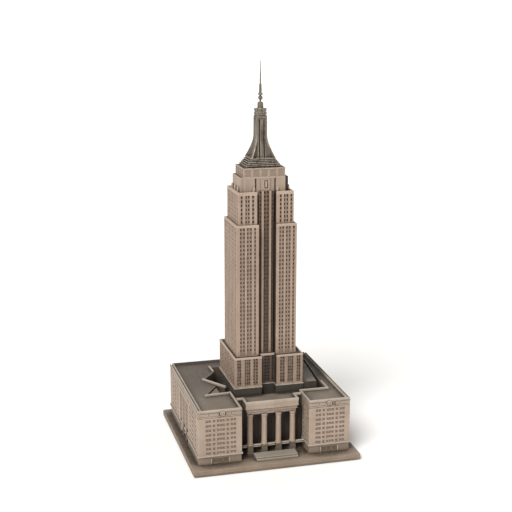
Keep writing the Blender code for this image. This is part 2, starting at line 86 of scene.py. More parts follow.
# Frieze, string course and ground storey
FRIEZE, STRING_HIGH, LEDGE = 32.0, 1.0, 0.5
FRIEZE_BANDS = ((0.0, 0.25, 0.3), (0.9, 1.15, 0.25), (2.85, 3.2, 0.35))       # above the frieze's foot
FRIEZE_LIP, FRIEZE_LIP_PROUD = 3.2, -0.2
PANEL_JOINTS, PANEL_JOINT_WIDE = (6.1, -6.45), 0.35           # from the wall's start and from its end
NICHE = (-0.9, 3.6)
DOORS, DOOR_EDGE, DOOR_BAR = 9.8, 0.6, 0.9
POST_GAP, POST_END, POST_PROUD = 0.1, 0.7, -0.35
SHOP_PITCH, SHOP_PIER, SHOP_EDGE, SHOP_BAR = 7.4, 1.0, 0.4, 0.6
GROUND_FOOT, GROUND_INSET, DOOR_DEEP, DOOR_PANE_DEEP = 0.7, 0.25, 0.3, 0.5

# Roof edges
BAR, BAR_CHAMFER = 1.0, 0.22
LIP, LIP_DROP, INNER_BAR = 0.5, 0.3, (1.3, 2.2)

# Portico
STEP_TREAD, STEP_NOSE = 1.2, 0.15
FLUTES, FLUTE_DEEP, COLUMN_SIDES, COLUMN_TAPER = 12, 0.14, 48, 0.05
BALUSTER_PITCH, BALUSTER = 0.8, ((0.18, 0.25), (0.25, 0.5))   # radius, height above the foot
PORCH_DOORS, PORCH_DOOR_WIDE, PORCH_PANES, PORCH_PANE_PITCH, PORCH_PANE_HIGH = 5, 3.6, 4, 4.2, 3.5
RIBBON = ((1.5, -1.3, 0.5), (2.3, -1.6, 0.42), (3.0, -1.5, 0.34), (-1.5, -1.3, 0.42))   # x, z, radius
RAIL_POST_HALF, RAIL_POST_PROUD = 0.7, 0.15

# Tower: relief of each tier as (start, end, lights) along the left and right halves of its front
RIM, GUTTER = 0.6, 0.6
SEAT = GUTTER + 2 * JOINT                       # how far a tier reaches down into the one below
RECESS_LOWER, RECESS_SHAFT, RECESS_UPPER = (4.4, 4.4), (4.7, 5.5), (5.3, 5.9)    # left and right half
RECESS_BED, LOWER_BED = 9.5, 15.0                             # distance from the tower's centre
LOWER_GROUPS = (((1.45, 3.85, 2), (5.95, 9.45, 3), (11.25, 14.05, 2)),
                ((2.4, 5.2, 2), (7.0, 10.5, 3), (12.6, 15.0, 2)))
SHAFT_GROUPS = (((2.1, 5.1, 2), (6.2, 9.2, 2), (10.6, 11.7, 1)),
                ((2.0, 4.9, 2), (6.0, 8.9, 2), (10.2, 11.4, 1)))
UPPER_GROUPS = (((1.4, 2.6, 1), (4.2, 6.8, 2), (8.2, 9.5, 1)),
                ((2.2, 3.4, 1), (4.7, 7.4, 2), (8.6, 9.8, 1)))
LOWER_CENTRE = ((0.3, 1.55, 1), (2.75, 6.05, 2), (7.25, 8.5, 1))
SPINE_GROUPS = ((0.25, 1.3, 1), (2.9, 5.9, 2), (7.5, 8.55, 1))
SPINE_PIERS, PIER_PROUD, SPINE_SHIFT = ((1.54, 2.74), (6.06, 7.26)), 0.5, 0.75
LOWER_ROWS, LOWER_SILL, LOWER_HEAD = 8, 0.9, 1.25
ROW_PITCH, ROW_HIGH = 2.43, 1.6
LOWER_BAY, TIER_BAY, LOWER_PANE, SHAFT_PANE, UPPER_PANE, SPINE_PANE = 0.42, 0.28, 1.0, 0.76, 0.95, 0.9
LOWER_MULLION, TIER_MULLION, SPINE_MULLION, TIER_EDGE = 0.35, 0.75, 0.6, 0.1
REED_EDGE, REED_DEEP, REED_PANE = 0.2, 0.16, 0.46

# Crown and its band
CROWN_SHOULDER, CROWN_STEP, CROWN_RIM = 1.9, 1.1, (0.4, 0.4)
CROWN_SLOTS, CROWN_SLOT_HALF, CROWN_SLOT_DEEP = (-5.4, 6.2), 0.5, 0.9
CROWN_FRAME, CROWN_PLATE = (-0.15, 2.05), (0.4, 1.4)
CROWN_GROOVES = ((-3.0, -2.1), (3.1, 4.1))
CROWN_LINES, CROWN_LINE_WIDE = (1.4, 2.5), 0.25
FRONT_KNOB = ((0.85, 1.3), (0.7, 1.8), (0.35, 2.15), (0.05, 2.2))             # radius, height
SIDE_KNOB = ((0.7, 1.5), (0.5, 2.1), (0.05, 2.4))
KNOB_PROUD, KNOB_SPREAD, KNOB_SIDES = 0.75, 1.25, 14
BAND_FLUTES, BAND_RIB, BAND_DEEP, BAND_LIP, BAND_RIM = (5, 4), 0.45, 0.34, 0.6, (0.4, 0.3)

# Mast
BASE_STEPS, BASE_FIRST, BASE_LAST = 5, (10.6, 8.3), (7.4, 7.2)
NOSING = ((0.0, 0.22), (-0.4, 0.22), (-0.32, 0.0), (-0.08, 0.0), (0.0, 0.1))  # height, inset
FLARE_TOP, FLARE_POWER, FLARE_LEVELS = 187.0, 1.55, 26
WING_RADIUS, WING_FLARE, WING_HALF = 4.55, 5.6, 0.55
FACE_RADIUS, FACE_FLARE, FACE_RIB = 3.1, 1.3, 0.12
GROOVE_X, GROOVE_HALF, GROOVE_DEEP, GROOVE_END = 1.4, 0.42, 1.1, 0.15
CAP_FOOT = ((3.75, 0.0), (3.9, 0.15), (3.9, 1.0), (3.7, 1.2), (3.2, 1.3))     # radius, height
CAP_RADIUS = 3.05
CAP_RINGS = ((199.0, 200.5, 12), (201.0, 202.5, 8))           # bottom, top, blocks round the edge
# Outline of a block, as its reach and its share of the space for one block
CAP_BLOCK = ((2.9, 0.16), (3.6, 0.16), (3.7, 0.5), (3.6, 0.84), (2.9, 0.84), (2.9, 0.5))
BALL_RADIUS, BALL_HEIGHT, BALL_ARCS = 1.35, 2.0, 10
# Radius and height of the antenna's rod above its foot
ROD = ((0.6, 3.25), (0.6, 3.5), (1.2, 3.6), (1.45, 3.8), (1.45, 4.4), (1.1, 4.65), (0.8, 4.9),
       (0.75, 6.6), (0.95, 6.7), (0.95, 7.0), (0.75, 7.1), (0.72, 8.7), (0.85, 8.8), (0.85, 9.05),
       (0.7, 9.2), (0.68, 9.8), (0.42, 10.1), (0.38, 15.0), (0.46, 15.1), (0.46, 15.3), (0.34, 15.4))

# Grain of the finishes, in cycles per metre
CLOUDS, SPECKS, GRAIN = 85.0, 480.0, 1500.0


# ---------------------------------------------------------------- reading the frame
def box(node):
    """Lowest and highest x, y, z of a CAD node: x0, y0, z0, x1, y1, z1."""
    low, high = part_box(node)
    return [value / MM for value in (*low, *high)]


def plan_of(node):
    """The outline of a CAD node's top face, counter-clockwise."""
    mesh = frame["nodes"][node].data
    places = [tuple(round(value / MM, 3) for value in vertex.co) for vertex in mesh.vertices]
    top = max(place[2] for place in places)
    edges = set()
    for polygon in mesh.polygons:
        corners = [places[index] for index in polygon.vertices]
        if all(top - corner[2] < 0.01 for corner in corners):
            edges.update((a[:2], b[:2]) for a, b in zip(corners, corners[1:] + corners[:1]))
    after = {a: b for a, b in edges if (b, a) not in edges}
    start = min(after, key=sum)
    loop = [start]
    while after[loop[-1]] != start:
        loop.append(after[loop[-1]])
    points = [Vector(point) for point in loop]
    return [point for before, point, beyond in neighbours(points)
            if abs((point - before).normalized().cross((beyond - point).normalized())) > 0.01]


def neighbours(points):
    """Each point of a closed outline with the one before and the one after."""
    return zip(points[-1:] + points[:-1], points, points[1:] + points[:1])


# ---------------------------------------------------------------- outlines
def inward(start, end):
    """The direction into an outline from one of its walls."""
    along = (end - start).normalized()
    return Vector((-along.y, along.x))


def offset(outline, distance):
    """The outline with every wall moved in by the distance."""
    moved = []
    for before, corner, after in neighbours(outline):
        first, second = inward(before, corner), inward(corner, after)
        moved.append(corner + (first + second) * (distance / (1 + first.dot(second))))
    return moved


def rectangle(x0, y0, x1, y1):
    return [Vector(point) for point in ((x0, y0), (x1, y0), (x1, y1), (x0, y1))]


def circle(radius, sides, centre=(0.0, 0.0)):
    """A regular outline about a centre."""
    angles = [2 * pi * i / sides for i in range(sides)]
    return [Vector((centre[0] + radius * cos(angle), centre[1] + radius * sin(angle))) for angle in angles]


# ---------------------------------------------------------------- pieces
def piece(bm, name, finishes, replaces=(), smooth=None):
    """Make the object, give it its finishes and set it on the frame."""
    bmesh.ops.dissolve_degenerate(bm, edges=bm.edges[:], dist=1e-7)
    if bm.calc_volume(signed=True) < 0:
        bmesh.ops.reverse_faces(bm, faces=bm.faces[:])
    mesh = bpy.data.meshes.new(name)
    bm.to_mesh(mesh)
    bm.free()
    for finish in finishes:
        mesh.materials.append(FINISHES[finish])
    if smooth:
        mesh.shade_smooth()
        mesh.set_sharp_from_angle(angle=smooth)
    made = bpy.data.objects.new(name, mesh)
    bpy.context.scene.collection.objects.link(made)
    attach(made, "root")
    if replaces:
        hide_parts(*replaces)


def fill(bm, ring, upward, finish):
    """Close a ring of vertices at one height with well-shaped triangles."""
    flat = [vertex.co.xy / MM for vertex in ring]
    _, _, triangles, origins, _, _ = delaunay_2d_cdt(flat, [], [list(range(len(flat)))], 1, 1e-5)
    for triangle in triangles:
        corners = [ring[origins[index][0]] for index in triangle]
        a, b, c = [corner.co.xy for corner in corners]
        if ((b - a).cross(c - a) > 0) != upward:
            corners.reverse()
        bm.faces.new(corners).material_index = finish


def depth_at(ranges, z, side):
    """The depth in force just below (side -1) or just above (side 1) a height."""
    found = 0.0
    for low, high, *depths in ranges:
        if low - 1e-6 < z + side * 1e-4 < high + 1e-6:
            share = (z - low) / (high - low)
            found = depths[0] + (depths[-1] - depths[0]) * share
    return found


def without_repeats(points):
    """The vertices of a relief ring, each once."""
    loop = []
    for vertex, _, _ in points:
        if not loop or vertex is not loop[-1]:
            loop.append(vertex)
    return loop[:-1] if loop[0] is loop[-1] else loop


class Relief:
    """A closed block in the making, whose walls carry relief."""

    def __init__(self, outline, marks, ranges, finish_of, chamfer):
        self.outline, self.marks, self.ranges = outline, marks, ranges
        self.finish_of, self.chamfer = finish_of, chamfer
        self.bm = bmesh.new()
        self.depths = self.bm.verts.layers.float.new("relief")
        self.tones = self.bm.faces.layers.float.new("tone")
        self.known = {}

    def vertex(self, point, z, depth):
        """The vertex at a place, made once."""
        key = (round(point.x, 3), round(point.y, 3), round(z, 3))
        if key not in self.known:
            self.known[key] = self.bm.verts.new((point.x * MM, point.y * MM, z * MM))
            self.known[key][self.depths] = depth
        return self.known[key]

    def ring(self, z, side, extra=0.0, lowered=0.0, flat=False):
        """The (vertex, wall, kind) points all round, just below (side -1) or above (side 1) a height."""
        inset = extra + depth_at(self.ranges.get("inset", ()), z, side)
        level = z - lowered
        points = []
        for wall, corner in enumerate(offset(self.outline, inset)):
            start, end = self.outline[wall], self.outline[(wall + 1) % len(self.outline)]
            along, into = (end - start).normalized(), inward(start, end)
            back = (self.outline[wall - 1] - start).normalized()
            points += [(self.vertex(corner + back * self.chamfer, level, 0), wall - 1, None),
                       (self.vertex(corner + along * self.chamfer, level, 0), wall, None)]
            for distance, kind in self.marks.get(wall, ()):
                depth = 0.0 if flat else depth_at(self.ranges.get(kind, ()), z, side)
                place = start + along * distance + into * (inset + depth)
                points.append((self.vertex(place, level, depth), wall, kind))
        return points

    def join(self, lower, upper, z):
        """Close the strip between two rings."""
        for i, (first, wall, kind) in enumerate(lower):
            j = (i + 1) % len(lower)
            corners = []
            for corner in (first, lower[j][0], upper[j][0], upper[i][0]):
                if corner not in corners:
                    corners.append(corner)
            if len(corners) < 3:
                continue
            face = self.bm.faces.new(corners)
            face.material_index = self.finish_of(wall, z, kind) if self.finish_of else 0
            glazed = kind == lower[j][2] == "pane" and first[self.depths] > 0
            face[self.tones] = RANDOM.random() if glazed else 0.5


def relief(name, outline, low, high, marks, ranges, finishes, finish_of=None, rim=None,
           replaces=(), chamfer=0.15):
    """A closed block whose walls carry relief.

    marks: for each wall, by number, the (distance along it, kind) at which its relief changes.
    ranges: for each kind, its (low, high, depth) or (low, high, depth below, depth above); the kind
    "inset" moves whole walls. finish_of(wall, z, kind) numbers the finish of a piece of wall.
    """
    walls = Relief(outline, marks, ranges, finish_of, chamfer)
    levels = {low, high}
    for spans in ranges.values():
        levels.update(z for span in spans for z in span[:2] if low < z < high)
    rings = []
    for z in sorted(levels):
        if z > low:
            rings.append((walls.ring(z, -1), z))
        if z < high:
            rings.append((walls.ring(z, 1), z))
    for (lower, bottom), (upper, top) in zip(rings, rings[1:]):
        walls.join(lower, upper, (bottom + top) / 2)
    top_ring = rings[-1][0]
    if rim:
        width, deep = rim
        for lowered in (0.0, deep):
            inner = walls.ring(high, -1, width, lowered, flat=True)
            walls.join(top_ring, inner, high)
            top_ring = inner
    fill(walls.bm, without_repeats(rings[0][0]), False, 0)
    fill(walls.bm, without_repeats(top_ring), True, len(finishes) - 1)
    piece(walls.bm, name, finishes, replaces)


def sweep(name, path, profile, finish, replaces=()):
    """A bar with mitred corners. The profile's points are (distance to the left of the path, height)."""
    bm = bmesh.new()
    ahead, beyond = 2 * path[0] - path[1], 2 * path[-1] - path[-2]
    full = [ahead] + path + [beyond]
    stations = []
    for before, corner, after in zip(full, full[1:], full[2:]):
        first, second = inward(before, corner), inward(corner, after)
        left = (first + second) / (1 + first.dot(second))
        places = [corner + left * distance for distance, _ in profile]
        stations.append([bm.verts.new((place.x * MM, place.y * MM, z * MM))
                         for place, (_, z) in zip(places, profile)])
    count = len(profile)
    for near, far in zip(stations, stations[1:]):
        for i in range(count):
            j = (i + 1) % count
            bm.faces.new((near[i], near[j], far[j], far[i]))
    bm.faces.new(stations[0][::-1])
    bm.faces.new(stations[-1])
    bm.normal_update()
    bmesh.ops.triangulate(bm, faces=[face for face in bm.faces if len(face.verts) > 4])
    piece(bm, name, [finish], replaces)


def loft(bm, sections, finish=0):
    """Add a closed solid through (z, outline) sections with equal counts, bottom to top."""
    rings = [[bm.verts.new((x * MM, y * MM, z * MM)) for x, y in outline]
             for z, outline in sections]
    for lower, upper in zip(rings, rings[1:]):
        for i in range(len(lower)):
            j = (i + 1) % len(lower)
            bm.faces.new((lower[i], lower[j], upper[j], upper[i])).material_index = finish
    fill(bm, rings[0], False, finish)
    fill(bm, rings[-1], True, finish)


# ---------------------------------------------------------------- finishes
def colour(red, green, blue):
    """An sRGB colour, 0 to 255, as linear RGBA."""
    values = [value / 255 for value in (red, green, blue)]
    linear = [value / 12.92 if value <= 0.04045 else ((value + 0.055) / 1.055) ** 2.4 for value in values]
    return linear + [1.0]


class Finish:
    """A material being wired up."""

    def __init__(self, name):
        self.material = bpy.data.materials.new(name)
        self.material.use_nodes = True
        self.tree = self.material.node_tree
        self.shader = self.tree.nodes["Principled BSDF"]
        self.place = self.add("ShaderNodeTexCoord").outputs["Object"]

    def add(self, kind, inputs=(), **settings):
        node = self.tree.nodes.new(kind)
        for name, value in settings.items():
            setattr(node, name, value)
        for key, value in inputs:
            self.put(node.inputs[key], value)
        return node

    def put(self, socket, value):
        if isinstance(value, bpy.types.NodeSocket):
            self.tree.links.new(value, socket)
        else:
            socket.default_value = value

    def noise(self, scale, detail=4.0, stretch=None):
        place = self.place
        if stretch:
            factors = [(0, place), (1, stretch)]
            place = self.add("ShaderNodeVectorMath", factors, operation="MULTIPLY").outputs[0]
        inputs = [("Vector", place), ("Scale", scale), ("Detail", detail)]
        return self.add("ShaderNodeTexNoise", inputs).outputs[0]

    def spread(self, value, low, high, to_low=0.0, to_high=1.0):
        """Map low..high onto to_low..to_high, held at the ends."""
        inputs = [(0, value), (1, low), (2, high), (3, to_low), (4, to_high)]
        return self.add("ShaderNodeMapRange", inputs, clamp=True).outputs[0]

    def maths(self, operation, first, second=0.5):
        inputs = [(0, first), (1, second)]
        return self.add("ShaderNodeMath", inputs, operation=operation, use_clamp=True).outputs[0]

    def mix(self, share, first, second):
        node = self.add("ShaderNodeMix", data_type="RGBA")
        for socket, value in ((node.inputs[0], share), (node.inputs[6], first), (node.inputs[7], second)):
            self.put(socket, value)
        return node.outputs[2]

    def attribute(self, name):
        return self.add("ShaderNodeAttribute", attribute_name=name).outputs["Fac"]

    def shut_off(self, reach, **settings):
        """How much of the space within reach is blocked."""
        inputs = [("Distance", reach * MM)]
        free = self.add("ShaderNodeAmbientOcclusion", inputs, samples=8, **settings).outputs["AO"]
        return self.maths("SUBTRACT", 1.0, free)

    def crevice(self, reach):
        """1 in tight corners, 0 in the open."""
        return self.shut_off(reach)

    def edges(self, reach):
        """1 along outward edges, 0 on flats."""
        return self.shut_off(reach, inside=True, only_local=True)

    def surface(self, **values):
        """Set or wire the shader's inputs, by name."""
        for name, value in values.items():
            self.put(self.shader.inputs[name.replace("_", " ").title()], value)

    def bump(self, height, strength, distance):
        inputs = [("Height", height), ("Strength", strength), ("Distance", distance * MM)]
        self.surface(normal=self.add("ShaderNodeBump", inputs).outputs[0])


def painted_shadow_amount(finish, depth, soot):
    """Painted shadow: further darkening along the axes, thin on what stands proud of the wall."""
    shadow_amount = finish.spread(depth, -0.3, 0.0, 0.12, 1.0)
    for axis, start, end, at_start, at_end in soot:
        place = finish.add("ShaderNodeSeparateXYZ", [(0, finish.place)]).outputs[axis]
        share = finish.spread(place, start * MM, end * MM, at_start, at_end)
        shadow_amount = finish.maths("MULTIPLY", shadow_amount, share)
    return shadow_amount


def stone(name, body, tint, wash_and_shade, light, reach=1.6, soak=(0.12, 0.62), wear=0.6, rough=0.62,
          stain=0.55, soot=()):
    """Painted cast resin: cloudy body colour, dark wash in the recesses (partly real paint wash, partly
    painted shade) and dry-brushed edges.

    soak: the crevice values between which the wash and painted shade build up. stain: how much the
    bays round the windows are darkened, partly wash and partly painted shade. soot: (axis, start, end,
    share at start, share at end) of painted shadow along the axes.
    """
    finish = Finish(name)
    clouds = finish.spread(finish.noise(CLOUDS, 3.0), 0.36, 0.64)
    grain = finish.noise(GRAIN, 3.0)
    specks = finish.noise(SPECKS, 5.0)
    base = finish.mix(clouds, colour(*body), colour(*tint))
    depth = finish.attribute("relief")
    # Bays round the windows darkened by their depth: partly wash, partly painted shade
    bay_dark_colour = finish.mix(0.5, colour(*body), colour(*wash_and_shade))
    base = finish.mix(finish.spread(depth, 0.05, 0.28, 0.0, stain), base, bay_dark_colour)
    # Crevice and depth darkening: partly the real paint wash, partly painted shade in corners and deep
    # panes
    hollow = finish.spread(finish.crevice(reach), *soak)
    sunken = finish.spread(depth, 0.25, 0.95)
    tone = finish.spread(finish.attribute("tone"), 0.0, 1.0, 0.75, 1.25)
    amount = finish.maths("MAXIMUM", hollow, finish.maths("MULTIPLY", sunken, tone))
    # Painted shadow along the given axes
    if soot:
        amount = finish.maths("MAXIMUM", amount, painted_shadow_amount(finish, depth, soot))
    amount = finish.maths("MULTIPLY", amount, finish.spread(specks, 0.3, 0.7, 0.72, 1.15))
    darkened = finish.mix(amount, base, colour(*wash_and_shade))
    rubbed = finish.spread(finish.edges(0.45), 0.08, 0.5, 0.0, wear)
    rubbed = finish.maths("MULTIPLY", rubbed, finish.spread(specks, 0.35, 0.6))
    finish.surface(base_color=finish.mix(rubbed, darkened, colour(*light)),
                   roughness=finish.spread(grain, 0.3, 0.7, rough - 0.1, rough + 0.12))
    finish.bump(finish.maths("ADD", grain, finish.maths("MULTIPLY", specks, 0.6)), 0.35, 0.12)
    return finish.material


def antiqued(name, body, dark, light, metallic, rough):
    """Plated casting with dark patina in the recesses and bright rubbed edges."""
    finish = Finish(name)
    clouds = finish.spread(finish.noise(260.0, 5.0, (1.0, 1.0, 0.35)), 0.35, 0.65)
    grain = finish.noise(1800.0, 3.0)
    hollow = finish.spread(finish.crevice(1.8), 0.05, 0.34)
    base = finish.mix(finish.maths("MULTIPLY", clouds, 0.7), colour(*body), colour(*dark))
    darkened = finish.mix(finish.maths("MULTIPLY", hollow, 0.9), base, colour(*dark))
    rubbed = finish.spread(finish.edges(0.5), 0.05, 0.42, 0.0, 0.85)
    rubbed = finish.maths("MULTIPLY", rubbed, finish.spread(finish.noise(700.0, 4.0), 0.32, 0.55))
    finish.surface(base_color=finish.mix(rubbed, darkened, colour(*light)), metallic=metallic,
                   roughness=finish.spread(clouds, 0.0, 1.0, rough - 0.1, rough + 0.14))
    finish.bump(grain, 0.3, 0.1)
    return finish.material


def felt(name, body, fibre):
    """Pressed felt with a matted nap."""
    finish = Finish(name)
    nap = finish.noise(2600.0, 6.0)
    weave = finish.mix(finish.spread(nap, 0.35, 0.65), colour(*body), colour(*fibre))
    finish.surface(base_color=weave, roughness=0.95, sheen_weight=0.25)
    finish.bump(nap, 0.7, 0.25)
    return finish.material


def turned_steel(name, body, dark):
    """Plain turned steel with fine tool marks round the axis."""
    finish = Finish(name)
    marks = finish.noise(900.0, 4.0, (0.15, 0.15, 3.0))
    sheen = finish.mix(finish.spread(marks, 0.3, 0.7), colour(*dark), colour(*body))
    finish.surface(base_color=sheen, metallic=1.0, roughness=finish.spread(marks, 0.3, 0.7, 0.25, 0.45))
    finish.bump(marks, 0.2, 0.05)
    return finish.material


def pale_floor(name):
    """Matt off-white paper."""
    finish = Finish(name)
    paper = finish.mix(finish.noise(3.0, 2.0), colour(238, 237, 235), colour(241, 240, 238))
    finish.surface(base_color=paper, roughness=0.9)
    return finish.material


# The body, tint, wash and light colours of each stone, then its settings; the wash colour also paints shade
STONES = {
    "wall_stone": ((160, 142, 126), (149, 130, 114), (66, 50, 39), (190, 172, 154),
                   dict(reach=1.2, soak=(0.18, 0.8), stain=0.65)),
    "wall_warm": ((157, 136, 119), (147, 125, 108), (56, 41, 32), (184, 164, 146),
                  dict(reach=1.2, soak=(0.18, 0.8), stain=0.65)),
    "wall_brown": ((143, 122, 104), (131, 109, 92), (36, 26, 20), (182, 162, 144),
                   dict(reach=1.5, stain=1.0)),
    # Lighter finish for the plain heads of the tower tiers: painted highlight
    "wall_light": ((170, 150, 133), (160, 140, 123), (66, 50, 39), (192, 172, 155),
                   dict(reach=1.2, soak=(0.25, 0.9))),
    # recess and hollow: dark finishes for the tiers' set-back centres, their side walls and the crown's
    # shoulder steps: painted shade
    "recess": ((88, 72, 60), (76, 61, 51), (26, 19, 15), (110, 92, 79), dict(reach=2.5)),
    "hollow": ((50, 41, 34), (42, 34, 28), (18, 14, 11), (64, 54, 45), dict(reach=2.5)),
    # Darker finish for the side and rear walls of the entablature: painted shade in the slots beside the
    # wings
    "wall_dark": ((96, 80, 68), (84, 69, 58), (30, 23, 18), (120, 102, 88), dict(soak=(0.1, 0.5))),
    "trim": ((163, 151, 137), (152, 140, 126), (50, 41, 32), (192, 181, 167),
             dict(reach=1.2, soak=(0.15, 0.65))),
    # Darker on the far part of the right parapet: painted shadow of the tower
    "trim_far": ((174, 160, 144), (164, 149, 132), (50, 42, 32), (188, 176, 160),
                 dict(reach=1.2, soak=(0.2, 0.7), soot=[("Y", -8.0, 5.0, 0.0, 0.88)])),
    # Darker towards the back and the right: painted shadow of the tower; the wide crevice reach paints
    # shade along the parapets
    "roof": ((116, 105, 93), (108, 97, 85), (30, 24, 17), (128, 116, 103),
             dict(reach=4.5, soak=(0.0, 0.2),
                  soot=[("Y", -25.0, 5.0, 0.0, 1.0), ("X", -48.0, 40.0, 0.38, 1.0)])),
    "terrace": ((122, 111, 98), (114, 103, 90), (50, 41, 32), (140, 128, 114), dict(reach=1.0)),
    # The long crevice reach paints shade on the slab along the foot of the walls
    "slab_stone": ((146, 131, 115), (136, 121, 105), (50, 39, 29), (162, 146, 129),
                   dict(reach=12.0, soak=(0.03, 0.36))),
    "slab_edge": ((128, 111, 94), (116, 99, 83), (72, 58, 45), (146, 128, 110), dict(reach=0.8)),
    "dark_storey": ((134, 117, 100), (122, 106, 90), (52, 42, 33), (154, 138, 120), dict(reach=1.2)),
    # Near-black finish of the porch and the low parts of the side entrance bays: painted shade
    "porch": ((54, 40, 30), (36, 27, 21), (8, 6, 5), (66, 51, 40), dict(reach=2.5)),
    # Dark finish of the court walls and the podium core: painted shade
    "court": ((88, 76, 63), (76, 65, 54), (30, 24, 19), (104, 90, 76), dict(reach=3.0)),
    # Dark finish of the rear parapet and the tops of the tower tiers; it paints the shade on the rear
    # parapet's inner face
    "parapet": ((56, 46, 36), (47, 38, 30), (26, 20, 15), (80, 68, 56), dict(reach=1.5)),
    "plinth": ((60, 54, 45), (52, 47, 39), (28, 24, 19), (78, 71, 61), dict(reach=2.5)),
    "steps": ((142, 133, 120), (132, 123, 110), (78, 69, 58), (176, 167, 152), dict(reach=1.2)),
    # Darker lower down the centre slot: painted shade
    "spine": ((142, 119, 100), (130, 107, 89), (44, 32, 24), (150, 126, 107),
              dict(reach=1.6, soak=(0.1, 0.6), wear=0.25, stain=0.9,
                   soot=[("Z", 126.0, 152.0, 0.72, 0.1)])),
    # Darker towards -X: painted shadow of the tower's left block on the left pier
    "pier": ((158, 135, 117), (146, 123, 106), (56, 42, 33), (174, 152, 133),
             dict(reach=1.4, soak=(0.15, 0.7), soot=[("X", -3.5, 1.5, 0.45, 0.05)])),
    "emblem": ((176, 158, 140), (160, 142, 124), (40, 31, 24), (204, 190, 172),
               dict(reach=1.6, soak=(0.05, 0.5))),
    "pedestal": ((104, 92, 79), (92, 81, 69), (34, 27, 21), (150, 136, 120), dict(reach=1.2)),
    # Darker to the left: painted shadow of the left wing on the nearest column
    "column": ((158, 139, 122), (147, 127, 110), (60, 44, 32), (186, 168, 150),
               dict(reach=1.2, soak=(0.18, 0.8), soot=[("X", -19.0, -10.0, 0.6, 0.0)])),
    "frieze": ((152, 136, 121), (142, 126, 110), (46, 36, 28), (184, 168, 152),
               dict(reach=1.2, soak=(0.08, 0.55))),
}
FINISHES = {name: stone(name, *colours, **settings) for name, (*colours, settings) in STONES.items()}
FINISHES["bronze"] = antiqued("bronze", (126, 115, 101), (36, 29, 22), (176, 165, 150), 0.25, 0.56)
FINISHES["felt"] = felt("felt", (44, 46, 42), (64, 67, 60))
FINISHES["steel"] = turned_steel("steel", (176, 176, 172), (120, 120, 118))
FINISHES["pale_floor"] = pale_floor("pale_floor")


# ---------------------------------------------------------------- relief along a wall
def marks_of(bays, outside=None):
    """The points at which a wall's relief changes, from nested (start, end, kind, inner bays)."""
    points = []
    for start, end, kind, inner in bays:
        points += [(start, outside), (start, kind)] + marks_of(inner, kind) + [(end, kind), (end, outside)]
    return points


def lights(start, end, count, kind="pane", edge=LIGHT_EDGE, bar=LIGHT_BAR):
    """Equal window lights side by side, with bars between them."""
    width = (end - start - 2 * edge - (count - 1) * bar) / count
    return [(start + edge + i * (width + bar), start + edge + i * (width + bar) + width, kind, ())
            for i in range(count)]


def window_group(centre, full):
    """Wide, narrow and centre bays about a point on a wall; a small group leaves the wide centre out."""
    if full:
        half = BAY_CENTRE / 2 + BAY_GAP
        spans = [(-BAY_CENTRE / 2, BAY_CENTRE / 2, 3), (half, half + BAY_NARROW, 1)]
        half += BAY_NARROW + BAY_GAP
    else:
        half = BAY_NARROW / 2 + BAY_GAP
        spans = [(-BAY_NARROW / 2, BAY_NARROW / 2, 1)]
    spans += [(half, half + BAY_WIDE, 2)]
    spans += [(-end, -start, count) for start, end, count in spans if start > 0]
    return [(centre + start, centre + end, "bay", lights(centre + start, centre + end, count))
            for start, end, count in sorted(spans)]


def street_bays(start, end):
    """As many window groups as fit between two points of a wall."""
    full = BAY_CENTRE + 4 * BAY_GAP + 2 * BAY_NARROW + 2 * BAY_WIDE
    small = BAY_NARROW + 2 * BAY_GAP + 2 * BAY_WIDE
    room = end - start
    if room < small:
        return []
    if room < full:
        return window_group((start + end) / 2, False)
    count = int((room + GROUP_GAP) / (full + GROUP_GAP))
    pitch = room / count
    bays = []
    for i in range(count):
        bays += window_group(start + (i + 0.5) * pitch, True)
    return bays


def window_rows():
    """The lowest and highest level of each row of podium windows."""
    sills = [WINDOW_FIRST + i * WINDOW_PITCH for i in range(WINDOW_ROWS)]
    return [(sill, sill + WINDOW_HIGH) for sill in sills]


# ---------------------------------------------------------------- podium
def podium_outline():
    """The U of the three ranges round the court, from the left wing's outer front corner."""
    left, right, rear = plan_of("podium_left"), plan_of("podium_right"), box("podium_rear")
    left_end = max(point.y for point in left)
    left = [point for point in left if point.y < left_end - 0.01 or point.x > left[0].x + 1]
    right_start = next(i for i, point in enumerate(right)
                       if point.y > left_end - 0.01 and point.x < rear[3] - 1)
    right = right[right_start:] + right[:right_start]
    right = [point for point in right if point.y < left_end - 0.01 or point.x < rear[3] - 1]
    back = [Vector((rear[3], rear[4])), Vector((rear[0], rear[4]))]
    return offset(left + right + back, -JOINT)


def street_walls(outline):
    """Numbers of the podium's walls that face the streets or the porch."""
    count = len(outline)
    return {"front_left": 0, "inner_left": 1, "inner_right": count - 5, "front_right": count - 4,
            "right_side": count - 3, "back": count - 2, "left_side": count - 1}


def side_bays(wall_start, sign):
    """The tall entrance bays of a side wall, as distances along that wall."""
    _, y0, _, _, y1, _ = box("side_rail_left")
    start, end = y0 - 2 * JOINT, y1 + 2 * JOINT
    width = (end - start - (SIDE_BAYS - 1) * SIDE_PILASTER) / SIDE_BAYS
    bays = []
    for i in range(SIDE_BAYS):
        near = start + i * (width + SIDE_PILASTER)
        span = sorted((sign * (near - wall_start), sign * (near + width - wall_start)))
        bays.append((*span, "tall", lights(*span, 2, "tall_pane", SIDE_EDGE, SIDE_BAR)))
    return sorted(bays)


